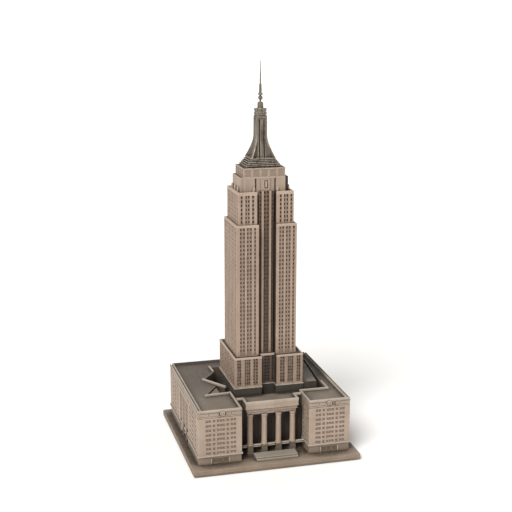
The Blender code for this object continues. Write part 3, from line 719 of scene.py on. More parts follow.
def street_windows(outline, walls, lengths):
    """The window bays of each street wall."""
    windows = {}
    for name in ("front_left", "front_right"):
        windows[walls[name]] = window_group(lengths[walls[name]] / 2 + WINDOW_SHIFT, True)
    porch_room = box("podium_link")[1] - outline[0].y
    inner, back = walls["inner_right"], walls["back"]
    windows[walls["inner_left"]] = window_group(porch_room / 2, False)
    windows[inner] = window_group(lengths[inner] - porch_room / 2, False)
    windows[back] = street_bays(CORNER_MARGIN, lengths[back] - CORNER_MARGIN)
    for name, sign in (("right_side", 1), ("left_side", -1)):
        wall = walls[name]
        tall = side_bays(outline[wall].y, sign)
        windows[wall] = (street_bays(CORNER_MARGIN, tall[0][0] - SIDE_MARGIN) + tall
                         + street_bays(tall[-1][1] + SIDE_MARGIN, lengths[wall] - CORNER_MARGIN))
    return windows


def podium_finish(walls, count):
    """Stone towards the streets; painted shade: the near-black porch finish low in the tall bays and the
    dark court finish inside.
    """
    def finish(wall, z, kind):
        if wall % count not in walls.values():
            return 1
        return 2 if kind in ("tall", "tall_pane") and z < RAIL_CLEAR else 0
    return finish


def build_podium():
    """Ground storey, string course, walls and frieze of the three ranges, as U-shaped castings."""
    outline = podium_outline()
    walls = street_walls(outline)
    lengths = [(after - corner).length for _, corner, after in neighbours(outline)]
    windows = street_windows(outline, walls, lengths)
    finish = podium_finish(walls, len(outline))
    gaps = {walls[name]: marks_of([(start, end, kind, ()) for start, end, kind, _ in windows[walls[name]]
                                   if kind == "tall"])
            for name in ("left_side", "right_side")}
    _, _, string_low, _, _, string_high = box("string_course_left")
    string_low -= 2 * JOINT
    fronts = [walls["front_left"], walls["front_right"]]

    build_walls(outline, windows, string_high, finish)
    build_frieze(outline, lengths, fronts, finish)
    build_string_course(outline, gaps, string_low, string_high)
    build_ground_storey(outline, lengths, fronts, walls["back"], gaps, string_low)
    return outline


def build_walls(outline, windows, low, finish):
    """The window storeys, with tall entrance bays in the sides."""
    glass = window_rows()
    frames = [(sill - FRAME, head + FRAME, BAY_DEEP) for sill, head in glass]
    tall = [(low, RAIL_CLEAR, SIDE_DEEP), (RAIL_CLEAR, SIDE_TOP, SIDE_BED)]
    ranges = {
        "bay": frames,
        "pane": frames + [(sill, head, PANE_DEEP) for sill, head in glass],
        "tall": tall,
        "tall_pane": tall + [(sill, head, SIDE_PANE) for sill, head in glass
                             if RAIL_CLEAR < sill and head < SIDE_TOP],
    }
    marks = {wall: marks_of(bays) for wall, bays in windows.items()}
    relief("podium_walls", outline, low, FRIEZE, marks, ranges, ["wall_stone", "court", "porch"], finish,
           replaces=("podium_left", "podium_right", "podium_rear"))


def build_frieze(outline, lengths, fronts, finish):
    """Grooved bands under the roof, with panel joints and a niche for each emblem on the fronts."""
    deck = box("podium_left")[5]
    marks = {}
    for wall in fronts:
        half = lengths[wall] / 2
        places = (PANEL_JOINTS[0], lengths[wall] + PANEL_JOINTS[1])
        joints = [(place, place + PANEL_JOINT_WIDE, "joint", ()) for place in places]
        marks[wall] = marks_of(sorted(joints + [(half + NICHE[0], half + NICHE[1], "niche", ())]))
    ranges = {
        "joint": [(FRIEZE + 1.35, FRIEZE + 2.75, 0.3)],
        "niche": [(FRIEZE + 0.55, FRIEZE + 2.85, 0.4)],
        "inset": [(FRIEZE + low, FRIEZE + high, deep) for low, high, deep in FRIEZE_BANDS]
                 + [(FRIEZE + FRIEZE_LIP, deck, FRIEZE_LIP_PROUD)],
    }
    relief("podium_frieze", outline, FRIEZE, deck, marks, ranges, ["frieze", "court", "roof"], finish)


def build_string_course(outline, gaps, low, high):
    """The projecting ledge over the ground storey, cut away at the side entrances."""
    line, slope = high - STRING_HIGH, high - 0.2
    ranges = {"inset": [(low, line, 0.1), (line, slope, -LEDGE), (slope, high, -LEDGE, -0.3)],
              "tall": [(low, high, SIDE_DEEP)]}
    # The side entrance gaps get the near-black porch finish: painted shade
    relief("string_course", outline, low, high, gaps, ranges, ["trim", "dark_storey", "porch"],
           lambda wall, z, kind: 2 if kind == "tall" else int(z < line),
           replaces=("string_course_left", "string_course_right", "string_course_rear"))


def build_ground_storey(outline, lengths, fronts, back, gaps, high):
    """Dark shop storey with panelled doorways between small pilasters."""
    low = box("ground_storey_left")[2] - 2 * JOINT
    marks = dict(gaps)
    for wall in fronts:
        start, end = lengths[wall] / 2 - DOORS / 2, lengths[wall] / 2 + DOORS / 2
        marks[wall] = marks_of([
            (start - POST_END, start - POST_GAP, "post", ()),
            (start, end, "door", lights(start, end, 3, "door_pane", DOOR_EDGE, DOOR_BAR)),
            (end + POST_GAP, end + POST_END, "post", ())])
    count = int((lengths[back] - 2 * CORNER_MARGIN) / SHOP_PITCH)
    first = (lengths[back] - count * SHOP_PITCH) / 2
    shops = []
    for i in range(count):
        start, end = first + i * SHOP_PITCH + SHOP_PIER, first + (i + 1) * SHOP_PITCH - SHOP_PIER
        shops.append((start, end, "door", lights(start, end, 2, "door_pane", SHOP_EDGE, SHOP_BAR)))
    marks[back] = marks_of(shops)
    door = [(low, high - 0.5, DOOR_DEEP)]
    ranges = {
        "inset": [(low, low + GROUND_FOOT, 0.05), (low + GROUND_FOOT, high, GROUND_INSET)],
        "door": door,
        "door_pane": door + [(low + 0.5, high - 0.9, DOOR_PANE_DEEP)],
        "post": [(low + GROUND_FOOT, high - 0.3, POST_PROUD)],
        "tall": [(low, high, SIDE_DEEP)],
    }
    # The side entrance gaps get the near-black porch finish: painted shade
    relief("ground_storey", outline, low, high, marks, ranges, ["dark_storey", "porch", "trim"],
           lambda wall, z, kind: {"tall": 1, "post": 2}.get(kind, 0),
           replaces=("ground_storey_left", "ground_storey_right", "ground_storey_rear"))


def build_roof_edges(outline):
    """Lipped parapet on the outer walls and plain bars round the wings and courts."""
    count = len(outline)
    deck, top = box("podium_left")[5] - 0.05, box("left_coping")[5]
    edge, (inner, end) = top - BAR_CHAMFER, INNER_BAR
    bar = [(0.0, deck), (BAR, deck), (BAR, edge), (BAR - BAR_CHAMFER, top), (BAR_CHAMFER, top), (0.0, edge)]
    lipped = [(0.0, deck), (end, deck), (end, edge), (end - BAR_CHAMFER, top), (inner + BAR_CHAMFER, top),
              (inner, edge), (inner, deck + 0.15), (LIP, deck + 0.15), (LIP, top - LIP_DROP - 0.1),
              (LIP - 0.1, top - LIP_DROP), (0.1, top - LIP_DROP), (0.0, top - LIP_DROP - 0.1)]
    rear = [(0.0, deck), (2.4, deck), (2.2, deck + 0.5), (1.6, edge), (1.6 - BAR_CHAMFER, top),
            (0.2, top), (0.0, top - 0.2)]
    right, left, back = outline[count - 3].x, outline[0].x, outline[count - 2].y
    front = outline[count - 3].y + BAR
    # trim_far darkens the far part of the right parapet: painted shadow of the tower
    sweep("right_parapet", [Vector((right, front)), Vector((right, back))], lipped, "trim_far",
          ("right_coping",))
    sweep("left_parapet", [Vector((left, back)), Vector((left, front))], lipped, "trim", ("left_coping",))
    # The rear parapet's dark finish paints its shade
    sweep("rear_parapet", [Vector((right - end, back)), Vector((left + end, back))], rear, "parapet",
          ("rear_coping",))
    sweep("left_wing_coping", outline[0:4], bar, "trim")
    sweep("right_wing_coping", outline[count - 7:count - 2], bar, "trim")
    first = next(i for i, point in enumerate(outline) if point.y > 0 and point.x < 0) + 2
    sweep("court_coping_long_bar", outline[first:first + 2], bar, "trim", ("court_coping_long",))
    sweep("court_coping_short_bar", outline[first + 2:first + 4], bar, "trim", ("court_coping_short",))


# ---------------------------------------------------------------- turned and small parts
def lobed(radius, sides, centre, lobes, dip):
    """A circle with shallow hollows round it."""
    outline = []
    for i in range(sides):
        angle = 2 * pi * i / sides
        reach = radius - dip * (0.5 - 0.5 * cos(lobes * angle))
        outline.append(Vector((centre[0] + reach * cos(angle), centre[1] + reach * sin(angle))))
    return outline


def turn(bm, profile, centre, sides=24):
    """Add a turned solid from its (radius, height) profile."""
    loft(bm, [(z, circle(radius, sides, centre)) for radius, z in profile])


def raised(profile, low):
    """A (radius, height) profile set on a level."""
    return [(radius, low + z) for radius, z in profile]


def block(bm, x0, y0, z0, x1, y1, z1, soft=0.15):
    """Add a box with softened top and bottom edges."""
    plan = rectangle(x0, y0, x1, y1)
    small = offset(plan, soft)
    loft(bm, [(z0, small), (z0 + soft, plan), (z1 - soft, plan), (z1, small)])


def ball(bm, centre, radius, sides=12):
    """Add a ball."""
    steps = sides // 2
    angles = [pi * i / steps - pi / 2 for i in range(steps + 1)]
    profile = [(max(radius * cos(angle), 0.02), centre[2] + radius * sin(angle)) for angle in angles]
    turn(bm, profile, centre[:2], sides)


def wreath(bm, centre, radius, tube, leaves=10, sides=40, around=8):
    """Add an upright ring that faces the front, swelling into leaves."""
    rings = []
    for i in range(sides):
        place = 2 * pi * i / sides
        thick = tube * (1 + 0.22 * cos(leaves * place))
        ring = []
        for j in range(around):
            angle = 2 * pi * j / around
            reach = radius + thick * cos(angle)
            ring.append(bm.verts.new(((centre[0] + reach * cos(place)) * MM,
                                      (centre[1] + thick * sin(angle)) * MM,
                                      (centre[2] + reach * sin(place)) * MM)))
        rings.append(ring)
    for near, far in zip(rings, rings[1:] + rings[:1]):
        for j in range(around):
            k = (j + 1) % around
            bm.faces.new((near[j], near[k], far[k], far[j]))


def numbered(stem):
    """The CAD nodes named after a stem and a number, with their numbers."""
    number = 1
    while f"{stem}_{number}" in frame["nodes"]:
        yield number, f"{stem}_{number}"
        number += 1


# ---------------------------------------------------------------- portico
def build_steps():
    """Two stone steps with rounded nosings."""
    x0, y0, z0, x1, y1, z1 = box("front_steps")
    deep, foot, middle = y1 - y0, z0 - 2 * JOINT, z0 + (z1 - z0) / 2
    profile = [(0.0, foot), (0.0, middle - STEP_NOSE), (STEP_NOSE, middle), (STEP_TREAD, middle),
               (STEP_TREAD, z1 - STEP_NOSE), (STEP_TREAD + STEP_NOSE, z1), (deep, z1), (deep, foot)]
    sweep("steps", [Vector((x0, y0)), Vector((x1, y0))], profile, "steps", ("front_steps",))


def build_column(number, node):
    """A fluted column with a ringed base and a plain capital."""
    x0, y0, z0, x1, _, z1 = box(node)
    wide = (x1 - x0) / 2
    centre, radius = ((x0 + x1) / 2, y0 + wide), wide - 0.2
    foot = [(wide, 0.0), (wide + 0.05, 0.3), (wide - 0.1, 0.5), (radius, 0.55), (radius, 0.7),
            (wide - 0.1, 0.8), (wide - 0.05, 1.0), (radius, 1.2)]
    neck = [(radius * 0.93, -1.9), (radius, -1.75), (radius, -1.5), (radius * 0.93, -1.4),
            (radius * 0.93, -0.9), (wide, -0.6), (wide, 0.7)]
    shaft_low, shaft_high = z0 + 1.3, z1 - 2.1
    sections = [(z, circle(r, COLUMN_SIDES, centre)) for r, z in raised(foot, z0 - 2 * JOINT)]
    for share in (0.0, 0.35, 0.7, 1.0):
        tapered = radius * (1 - COLUMN_TAPER * share)
        sections.append((shaft_low + (shaft_high - shaft_low) * share,
                         lobed(tapered, COLUMN_SIDES, centre, FLUTES, FLUTE_DEEP)))
    sections += [(z, circle(r, COLUMN_SIDES, centre)) for r, z in raised(neck, z1)]
    bm = bmesh.new()
    loft(bm, sections)
    piece(bm, f"column_{number}", ["column"], (node,), smooth=radians(50))


def build_pedestal(number, node):
    """A square pedestal with a foot and a cap."""
    x0, y0, z0, x1, y1, z1 = box(node)
    plan = rectangle(x0, y0, x1, y1)
    steps = ((z0 - 2 * JOINT, 0.0), (z0 + 0.5, 0.0), (z0 + 0.65, 0.2), (z1 - 0.75, 0.2), (z1 - 0.6, -0.1),
             (z1 - 0.15, -0.1), (z1, 0.05))
    bm = bmesh.new()
    loft(bm, [(z, offset(plan, inset)) for z, inset in steps])
    piece(bm, f"pedestal_{number}", ["pedestal"], (node,))


def build_rail(number, node):
    """Top and bottom bars with balusters between them."""
    x0, y0, z0, x1, y1, z1 = box(node)
    x0, x1, middle = x0 - JOINT, x1 + JOINT, (y0 + y1) / 2
    bm = bmesh.new()
    block(bm, x0, y0, z1 - 0.45, x1, y1, z1, 0.1)
    block(bm, x0, y0 + 0.1, z0 - 0.1, x1, y1 - 0.1, z0 + 0.3, 0.08)
    count = max(2, round((x1 - x0) / BALUSTER_PITCH))
    for i in range(count):
        x = x0 + (i + 0.5) * (x1 - x0) / count
        turn(bm, raised(BALUSTER, z0) + [(0.14, z1 - 0.4)], (x, middle), 8)
    piece(bm, f"rail_{number}", ["trim"], (node,))


def build_entablature():
    """Stepped bands under a tall plain fascia, with its coping."""
    x0, y0, z0, x1, y1, z1 = box("portico_entablature")
    plan = rectangle(x0, y0, x1, y1 + 2 * JOINT)
    middle, upper = z0 + 2.4, z0 + 4.1
    bands = [(z0 - JOINT, z0 + 0.8, 2.4), (z0 + 0.8, middle - 0.3, 1.2), (middle - 0.3, middle, 1.4),
             (middle, middle + 0.35, 0.45), (middle + 0.35, upper - 0.3, 0.6), (upper - 0.3, upper, 0.85),
             (upper, upper + 0.35, -0.15), (z1 - 1.6, z1 - 1.45, 0.15)]
    # The side and rear walls get the darker wall_dark finish: painted shade in the slots beside the wings
    relief("entablature", plan, z0 - JOINT, z1 + JOINT, {}, {"inset": bands},
           ["wall_stone", "wall_dark", "frieze", "roof"],
           lambda wall, z, kind: 1 if wall % 4 else 2 * int(z < upper), replaces=("portico_entablature",))

    left, right = x0, x1
    x0, y0, z0, x1, _, z1 = box("portico_coping")
    link = box("podium_link")[1] - JOINT
    path = [Vector(point) for point in ((x0 - JOINT, link), (left, link), (left, y0), (right, y0),
                                        (right, link), (x1 + JOINT, link))]
    profile = [(-0.12, z0 - JOINT), (BAR, z0 - JOINT), (BAR, z1 - 0.2), (BAR - 0.2, z1), (0.05, z1),
               (-0.12, z1 - 0.2)]
    sweep("portico_roof_edge", path, profile, "trim", ("portico_coping",))


def build_porch():
    """Rear wall of the porch with tall doorways, set against the roof link; its near-black finish is
    painted shade.
    """
    x0, y0, z0, x1, _, _ = box("podium_link")
    high = box("portico_entablature")[2]
    plan = rectangle(x0 - JOINT, y0 - 0.9, x1 + JOINT, y0)
    pitch = (x1 - x0) / PORCH_DOORS
    bays = []
    for i in range(PORCH_DOORS):
        start, end = (i + 0.5) * pitch - PORCH_DOOR_WIDE / 2, (i + 0.5) * pitch + PORCH_DOOR_WIDE / 2
        bays.append((start, end, "bay", lights(start, end, 2, "pane", 0.3, 0.3)))
    doors = [(z0 + 1.0, high - 2.5, 0.25)]
    sills = [z0 + 1.5 + i * PORCH_PANE_PITCH for i in range(PORCH_PANES)]
    ranges = {"bay": doors, "pane": doors + [(sill, sill + PORCH_PANE_HIGH, 0.5) for sill in sills]}
    relief("porch_wall", plan, z0 - 2 * JOINT, high, {0: marks_of(bays)}, ranges, ["porch"])


def build_emblem(side):
    """A wreath with ribbon ends in the middle of a wing's frieze."""
    x0, _, z0, x1, y1, z1 = box(f"frieze_emblem_{side}")
    x, y, z = (x0 + x1) / 2, y1 + 0.1, (z0 + z1) / 2
    bm = bmesh.new()
    wreath(bm, (x + 0.2, y - 0.35, z + 0.25), 1.05, 0.36)
    ball(bm, (x + 0.2, y - 0.1, z + 0.25), 0.7)
    for reach, drop, size in RIBBON:
        ball(bm, (x + reach, y + 0.05, z + drop), size, 10)
    piece(bm, f"emblem_{side}", ["emblem"], (f"frieze_emblem_{side}",), smooth=radians(60))


def build_side_rail(side):
    """A low rail with posts across a side entrance."""
    x0, y0, z0, x1, y1, z1 = box(f"side_rail_{side}")
    foot = box("ground_storey_left")[2] - 2 * JOINT
    half, proud = RAIL_POST_HALF, RAIL_POST_PROUD
    bm = bmesh.new()
    block(bm, x0, y0, z1 - 0.5, x1, y1, z1, 0.1)
    block(bm, x0 + 0.1, y0, z0 - 0.2, x1 - 0.1, y1, z0 + 0.25, 0.08)
    width = (y1 - y0 - (SIDE_BAYS - 1) * SIDE_PILASTER) / SIDE_BAYS
    for i in range(SIDE_BAYS + 1):
        y = y0 - SIDE_PILASTER / 2 + i * (width + SIDE_PILASTER)
        y = min(max(y, y0 + half), y1 - half)
        block(bm, x0 - proud, y - half, foot, x1 + proud, y + half, z1 + 0.5, 0.2)
        ball(bm, ((x0 + x1) / 2, y, z1 + 0.9), 0.6)
    piece(bm, f"side_rail_posts_{side}", ["trim"], (f"side_rail_{side}",), smooth=radians(40))


# ---------------------------------------------------------------- tower
def recessed(node, halves, bed):
    """A tier's outline, with its centre set back front and rear."""
    x0, y0, _, x1, y1, _ = box(node)
    x, y = (x0 + x1) / 2, (y0 + y1) / 2
    left, right = x - halves[0], x + halves[1]
    front = [(x0, y0), (left, y0), (left, y - bed), (right, y - bed), (right, y0), (x1, y0)]
    return [Vector(point) for point in front] + [Vector((2 * x - px, 2 * y - py)) for px, py in front]


def bay_marks(groups, mullion):
    """Marks of window bays from (start, end, lights)."""
    return marks_of([(start, end, "bay", lights(start, end, count, "pane", TIER_EDGE, mullion))
                     for start, end, count in groups])


def tier_marks(outline, groups, reeds, mullion, centre=()):
    """Window bays on the four half fronts and the set-back centres, reeds on the sides."""
    marks = {}
    for walls, group in (((0, 6), groups[0]), ((4, 10), groups[1]), ((2, 8), centre)):
        marks.update({wall: bay_marks(group, mullion) for wall in walls})
    for wall in (5, 11):
        pitch = (outline[(wall + 1) % len(outline)] - outline[wall]).length / (2 * reeds + 1)
        spans = [((2 * i + 1) * pitch, (2 * i + 2) * pitch) for i in range(reeds)]
        marks[wall] = marks_of([(start, end, "reed", lights(start, end, 1, "reed_pane", REED_EDGE))
                                for start, end in spans])
    return marks


def tower_finish(head):
    """Wall finish of a tier: a lighter finish above the window heads as painted highlight, dark finishes on
    its set-back centres and their side walls as painted shade.
    """
    def finish(wall, z, _):
        if wall % 6 in (1, 3):
            return 2
        return 3 if z > head else int(wall % 6 == 2)
    return finish


def tier_ranges(low, high, count, pitch, tall, deep, bay_deep=TIER_BAY):
    """Bays from low to high with rows of windows hanging from their heads."""
    heads = [high - i * pitch for i in range(count)]
    bay, reed = [(low, high, bay_deep)], [(low, high, REED_DEEP)]
    return {"bay": bay, "pane": bay + [(head - tall, head - 0.1, deep) for head in heads],
            "reed": reed, "reed_pane": reed + [(head - tall, head - 0.1, REED_PANE) for head in heads]}


# After a tier's wall finish: recess and hollow, painted shade on the set-back centres and their side walls;
# wall_light, painted highlight on the plain head; parapet, the dark top
TIER_FINISHES = ["recess", "hollow", "wall_light", "parapet"]


def build_lower_block():
    """Dark plinth and the broad lowest tier."""
    low, high = box("tower_plinth")[2] - 2 * JOINT, box("tower_plinth")[5]
    outline = recessed("tower_plinth", RECESS_LOWER, LOWER_BED)
    edge = {"inset": [(high - 0.35, high, -0.2), (high, high + 0.3, 0.1)]}
    relief("plinth", outline, low, high + 2 * JOINT, {}, edge, ["plinth", "trim"],
           lambda wall, z, kind: int(z > high - 0.4), replaces=("tower_plinth",))

    low, high = box("tower_lower_block")[2], box("tower_lower_block")[5]
    outline = recessed("tower_lower_block", RECESS_LOWER, LOWER_BED)
    sill, head = low + LOWER_SILL, high - LOWER_HEAD
    pitch = (head - low - LOWER_SILL) / LOWER_ROWS
    marks = tier_marks(outline, LOWER_GROUPS, 9, LOWER_MULLION, LOWER_CENTRE)
    ranges = tier_ranges(sill, head, LOWER_ROWS, pitch, pitch * 0.6, LOWER_PANE, LOWER_BAY)
    ranges["inset"] = [(high - 1.0, high - 0.15, -0.18), (high - 0.15, high, -0.18, 0.0)]
    relief("lower_block", outline, low, high, marks, ranges, ["wall_brown"] + TIER_FINISHES,
           tower_finish(head + 0.1), (RIM, GUTTER), ("tower_lower_block",))


def build_tier(node, halves, groups, reeds, plain, deep):
    """A tall tier with rows of windows below a plain head."""
    low, high = box(node)[2] - SEAT, box(node)[5]
    outline = recessed(node, halves, RECESS_BED)
    head = high - plain
    count = int((head - low) / ROW_PITCH)
    ranges = tier_ranges(low + 0.2, head, count, ROW_PITCH, ROW_HIGH, deep)
    ranges["inset"] = [(high - 0.2, high, 0.0, 0.15)]
    relief(node.replace("tower_", ""), outline, low, high, tier_marks(outline, groups, reeds, TIER_MULLION),
           ranges, ["wall_warm"] + TIER_FINISHES, tower_finish(head + 0.1), (RIM, GUTTER), (node,))


def build_spine(node, wall):
    """A centre strip with two proud piers and window bays between them, on one of its walls."""
    x0, y0, low, x1, y1, high = box(node)
    if wall == 0:
        plan = rectangle(x0 + SPINE_SHIFT, y0 + PIER_PROUD, x1 + SPINE_SHIFT, y1)
    else:
        plan = rectangle(x0 - SPINE_SHIFT, y0, x1 - SPINE_SHIFT, y1 - PIER_PROUD)
    piers = [(start, end, "pier", ()) for start, end in SPINE_PIERS]
    bays = [(start, end, "bay", lights(start, end, count, "pane", TIER_EDGE, SPINE_MULLION))
            for start, end, count in SPINE_GROUPS]
    count = int((high - low) / ROW_PITCH)
    ranges = tier_ranges(low - 0.2, high, count, ROW_PITCH, ROW_HIGH, SPINE_PANE)
    ranges["pier"] = [(low - SEAT, high - 0.25, -PIER_PROUD), (high - 0.25, high, -PIER_PROUD, -0.3)]
    relief(node.replace("spine", "centre_spine"), plan, low - SEAT, high,
           {wall: marks_of(sorted(piers + bays))}, ranges, ["spine", "pier"],
           lambda wall, z, kind: int(kind == "pier"), replaces=(node,))


# ---------------------------------------------------------------- crown
def crown_marks(middle):
    """Slots, corner lines and the framed centre of the crown's front and rear walls."""
    slots = [(middle + x - CROWN_SLOT_HALF, middle + x + CROWN_SLOT_HALF, "slot", ()) for x in CROWN_SLOTS]
    plate = [(middle + CROWN_PLATE[0], middle + CROWN_PLATE[1], "plate", ())]
    window = [(middle + CROWN_FRAME[0], middle + CROWN_FRAME[1], "frame", plate)]
    grooves = [(middle + start, middle + end, "groove", ()) for start, end in CROWN_GROOVES]
    inner = CROWN_SLOT_HALF + 0.2
    centre = [(middle + CROWN_SLOTS[0] + inner, middle + CROWN_SLOTS[1] - inner, "centre",
               sorted(window + grooves))]
    lines = [(start, start + CROWN_LINE_WIDE, "line", ()) for start in CROWN_LINES]
    return marks_of(sorted(slots + centre + lines))


def build_crown():
    """Crown with shoulders, dark slots, a framed pane, and a knob at each end of the slots."""
    x0, y0, low, x1, y1, high = box("crown_block")
    left, right, near, far = x0 + CROWN_SHOULDER, x1 - CROWN_SHOULDER, y0 + CROWN_STEP, y1 - CROWN_STEP
    plan = [Vector(point) for point in ((left, y0), (right, y0), (right, near), (x1, near), (x1, far),
                                        (right, far), (right, y1), (left, y1), (left, far), (x0, far),
                                        (x0, near), (left, near))]
    marks = crown_marks((right - left) / 2)
    base = low - SEAT
    panel = [(base, high - 0.7, 0.15)]
    frame_foot, frame_head = low + 1.0, high - 1.8
    ranges = {"slot": [(base, high - 0.5, CROWN_SLOT_DEEP)], "line": [(base, high - 0.4, 0.12)],
              "centre": panel, "groove": panel + [(base + 0.2, high - 1.0, 0.3)],
              "frame": panel + [(frame_foot, frame_head, 0.7)],
              "plate": panel + [(frame_foot, low + 1.7, 0.7), (low + 1.7, high - 2.4, 0.0),
                                (high - 2.4, frame_head, 0.7)],
              "inset": [(high - 0.2, high, 0.0, 0.15)]}
    # Walls 1, 2, 7 and 8, the step faces of the right front and left rear shoulders, get the hollow finish:
    # painted shade
    relief("crown", plan, base, high, {0: marks, 6: marks}, ranges, ["wall_stone", "hollow", "roof"],
           lambda wall, *_: int(wall % 6 in (1, 2)), CROWN_RIM, ("crown_block",))

    bm = bmesh.new()
    for x in (CROWN_SLOTS[0] - KNOB_SPREAD, CROWN_SLOTS[1] + KNOB_SPREAD):
        for y in (y0 - KNOB_PROUD, y1 + KNOB_PROUD):
            turn(bm, [(FRONT_KNOB[0][0], base)] + raised(FRONT_KNOB, low), ((left + right) / 2 + x, y),
                 KNOB_SIDES)
    for x in (x0 - KNOB_PROUD, x1 + KNOB_PROUD):
        for y in (near + 2.2, (near + far) / 2, far - 2.2):
            turn(bm, [(SIDE_KNOB[0][0], base)] + raised(SIDE_KNOB, low), (x, y), KNOB_SIDES)
    piece(bm, "crown_knobs", ["wall_stone"], smooth=radians(50))


def build_band():
    """Fluted band between the crown and the mast."""
    x0, y0, low, x1, y1, high = box("crown_band")
    plan, marks = rectangle(x0, y0, x1, y1), {}
    for wall, count in enumerate(BAND_FLUTES * 2):
        pitch = (plan[(wall + 1) % 4] - plan[wall]).length / count
        flutes = []
        for i in range(count):
            start, end = i * pitch, (i + 1) * pitch
            hollow = [(start + 2 * BAND_RIB, end - 2 * BAND_RIB, "hollow", ())]
            flutes.append((start + BAND_RIB, end - BAND_RIB, "flute", hollow))
        marks[wall] = marks_of(flutes)
    top = high - BAND_LIP
    flute = [(low, top, BAND_DEEP * 0.6, 0.15)]
    ranges = {"flute": flute, "hollow": flute + [(low + 0.3, top - 0.5, BAND_DEEP, 0.3)],
              "inset": [(top, high, -0.1)]}
    relief("fluted_band", plan, low - 0.4 - 2 * JOINT, high, marks, ranges, ["wall_stone", "roof"],
           rim=BAND_RIM, replaces=("crown_band",))


# ---------------------------------------------------------------- mast
def flare(z, foot):
    """How far the mast has spread at a height: 0 on its straight part, 1 at its foot."""
    return max(0.0, (FLARE_TOP - z) / (FLARE_TOP - foot)) ** FLARE_POWER


def mast_outline(z, foot, centre, groove):
    """Four rounded diagonal wings joined by faces with two grooves beside a rib."""
    spread = flare(z, foot)
    wing, face = WING_RADIUS + WING_FLARE * spread, FACE_RADIUS + FACE_FLARE * spread
    root2, inner, outer = 2 ** 0.5, GROOVE_X - GROOVE_HALF, GROOVE_X + GROOVE_HALF
    half = [(inner * 0.5, face + FACE_RIB), (inner, face), (inner + 0.12, face - groove),
            (outer - 0.12, face - groove), (outer, face), (face - root2 * WING_HALF, face)]
    half += [((wing - back * WING_HALF) / root2, (wing + out * WING_HALF) / root2)
             for back, out in ((1.5, 0.5), (0.3, 0.1))]
    side = [(-t, n) for t, n in reversed(half)] + half
    outline = []
    for quarter in range(4):
        c, s = cos(quarter * pi / 2), sin(quarter * pi / 2)
        outline += [(centre[0] + t * c + n * s, centre[1] + t * s - n * c) for t, n in side]
    return outline


def build_mast_steps(centre):
    """Stepped base with nosings."""
    _, _, low, _, _, high = box("mast_base")
    rise, sections = (high - low) / BASE_STEPS, []
    for i in range(BASE_STEPS):
        wide, deep = [a + (b - a) * i / (BASE_STEPS - 1) for a, b in zip(BASE_FIRST, BASE_LAST)]
        for number, (level, inset) in enumerate(NOSING):
            z = low + i * rise + level + (rise if number else 0.0)
            sections.append((z, rectangle(centre[0] - wide + inset, centre[1] - deep + inset,
                                          centre[0] + wide - inset, centre[1] + deep - inset)))
    sections[0] = (low - 0.3 - 2 * JOINT, sections[0][1])
    bm = bmesh.new()
    loft(bm, sections)
    piece(bm, "mast_steps", ["bronze"], ("mast_base",))


def build_wings(centre):
    """Winged mast, straight at the top and flared at the foot."""
    foot, top = box("mast")[2], box("mast")[5]
    heights = [foot + (FLARE_TOP - foot) * i / FLARE_LEVELS for i in range(FLARE_LEVELS + 1)]
    sections = [(z, mast_outline(z, foot, centre, GROOVE_DEEP))
                for z in [foot - 2 * JOINT] + heights + [top - 1.0]]
    head = mast_outline(top, foot, centre, GROOVE_END)
    bm = bmesh.new()
    loft(bm, sections + [(top - 0.9, head), (top + 2 * JOINT, head)])
    piece(bm, "winged_mast", ["bronze"], ("mast",), smooth=radians(35))


def build_cap(centre):
    """Rings of small blocks under a domed drum."""
    low, high = box("mast_cap")[2], box("mast_cap")[5]
    rings_low, rings_high = CAP_RINGS[0][0], CAP_RINGS[-1][1]
    bm = bmesh.new()
    turn(bm, raised(CAP_FOOT, low) + [(3.1, rings_low)], centre, 32)
    for bottom, top, blocks in CAP_RINGS:
        turn(bm, [(CAP_RADIUS, bottom - 0.4), (CAP_RADIUS, top + 0.1)], centre, 32)
        for i in range(blocks):
            turned = [(reach, 2 * pi * (i + share) / blocks) for reach, share in CAP_BLOCK]
            plan = [(centre[0] + reach * cos(angle), centre[1] + reach * sin(angle))
                    for reach, angle in turned]
            loft(bm, [(bottom, plan), (top, plan)])
    dome = [(1.9, rings_high), (1.75, rings_high + 0.4), (1.7, high - 0.9), (1.5, high - 0.3), (0.9, high)]
    turn(bm, dome, centre, 28)
    piece(bm, "cap", ["bronze"], ("mast_cap",), smooth=radians(35))


def build_antenna(centre):
    """Neck, ball, collars, jointed rod and tapering needle."""
    low, high = box("antenna")[2], box("antenna")[5]
    angles = [pi * i / BALL_ARCS - pi / 2 for i in range(1, BALL_ARCS)]
    sphere = [(BALL_RADIUS * cos(angle), low + BALL_HEIGHT + BALL_RADIUS * sin(angle)) for angle in angles]
    needle = [(0.25, high - 0.3), (0.12, high)]
    bm = bmesh.new()
    turn(bm, [(0.55, low - 2 * JOINT), (0.5, low + 0.5)] + sphere + raised(ROD, low) + needle, centre, 20)
    piece(bm, "spire", ["bronze"], ("antenna",), smooth=radians(40))


# ---------------------------------------------------------------- ground
def build_slab():
    """Base slab with worn upper edges."""
    x0, y0, low, x1, y1, high = box("base_slab")
    ranges = {"inset": [(low, low + 0.3, 0.2, 0.0), (high - 0.35, high, 0.0, 0.3)]}
    relief("slab", rectangle(x0, y0, x1, y1), low - 2 * JOINT, high, {}, ranges,
           ["slab_edge", "slab_stone"], replaces=("base_slab",), chamfer=0.5)


def build_annex():
    """Low block beside the tower, with its own roof."""
    low, high = box("right_annex")[2], box("right_annex")[5]
    relief("annex", plan_of("right_annex"), low - 2 * JOINT, high, {},
           {"inset": [(high - 0.25, high, 0.0, 0.2)]}, ["plinth", "roof"], replaces=("right_annex",))


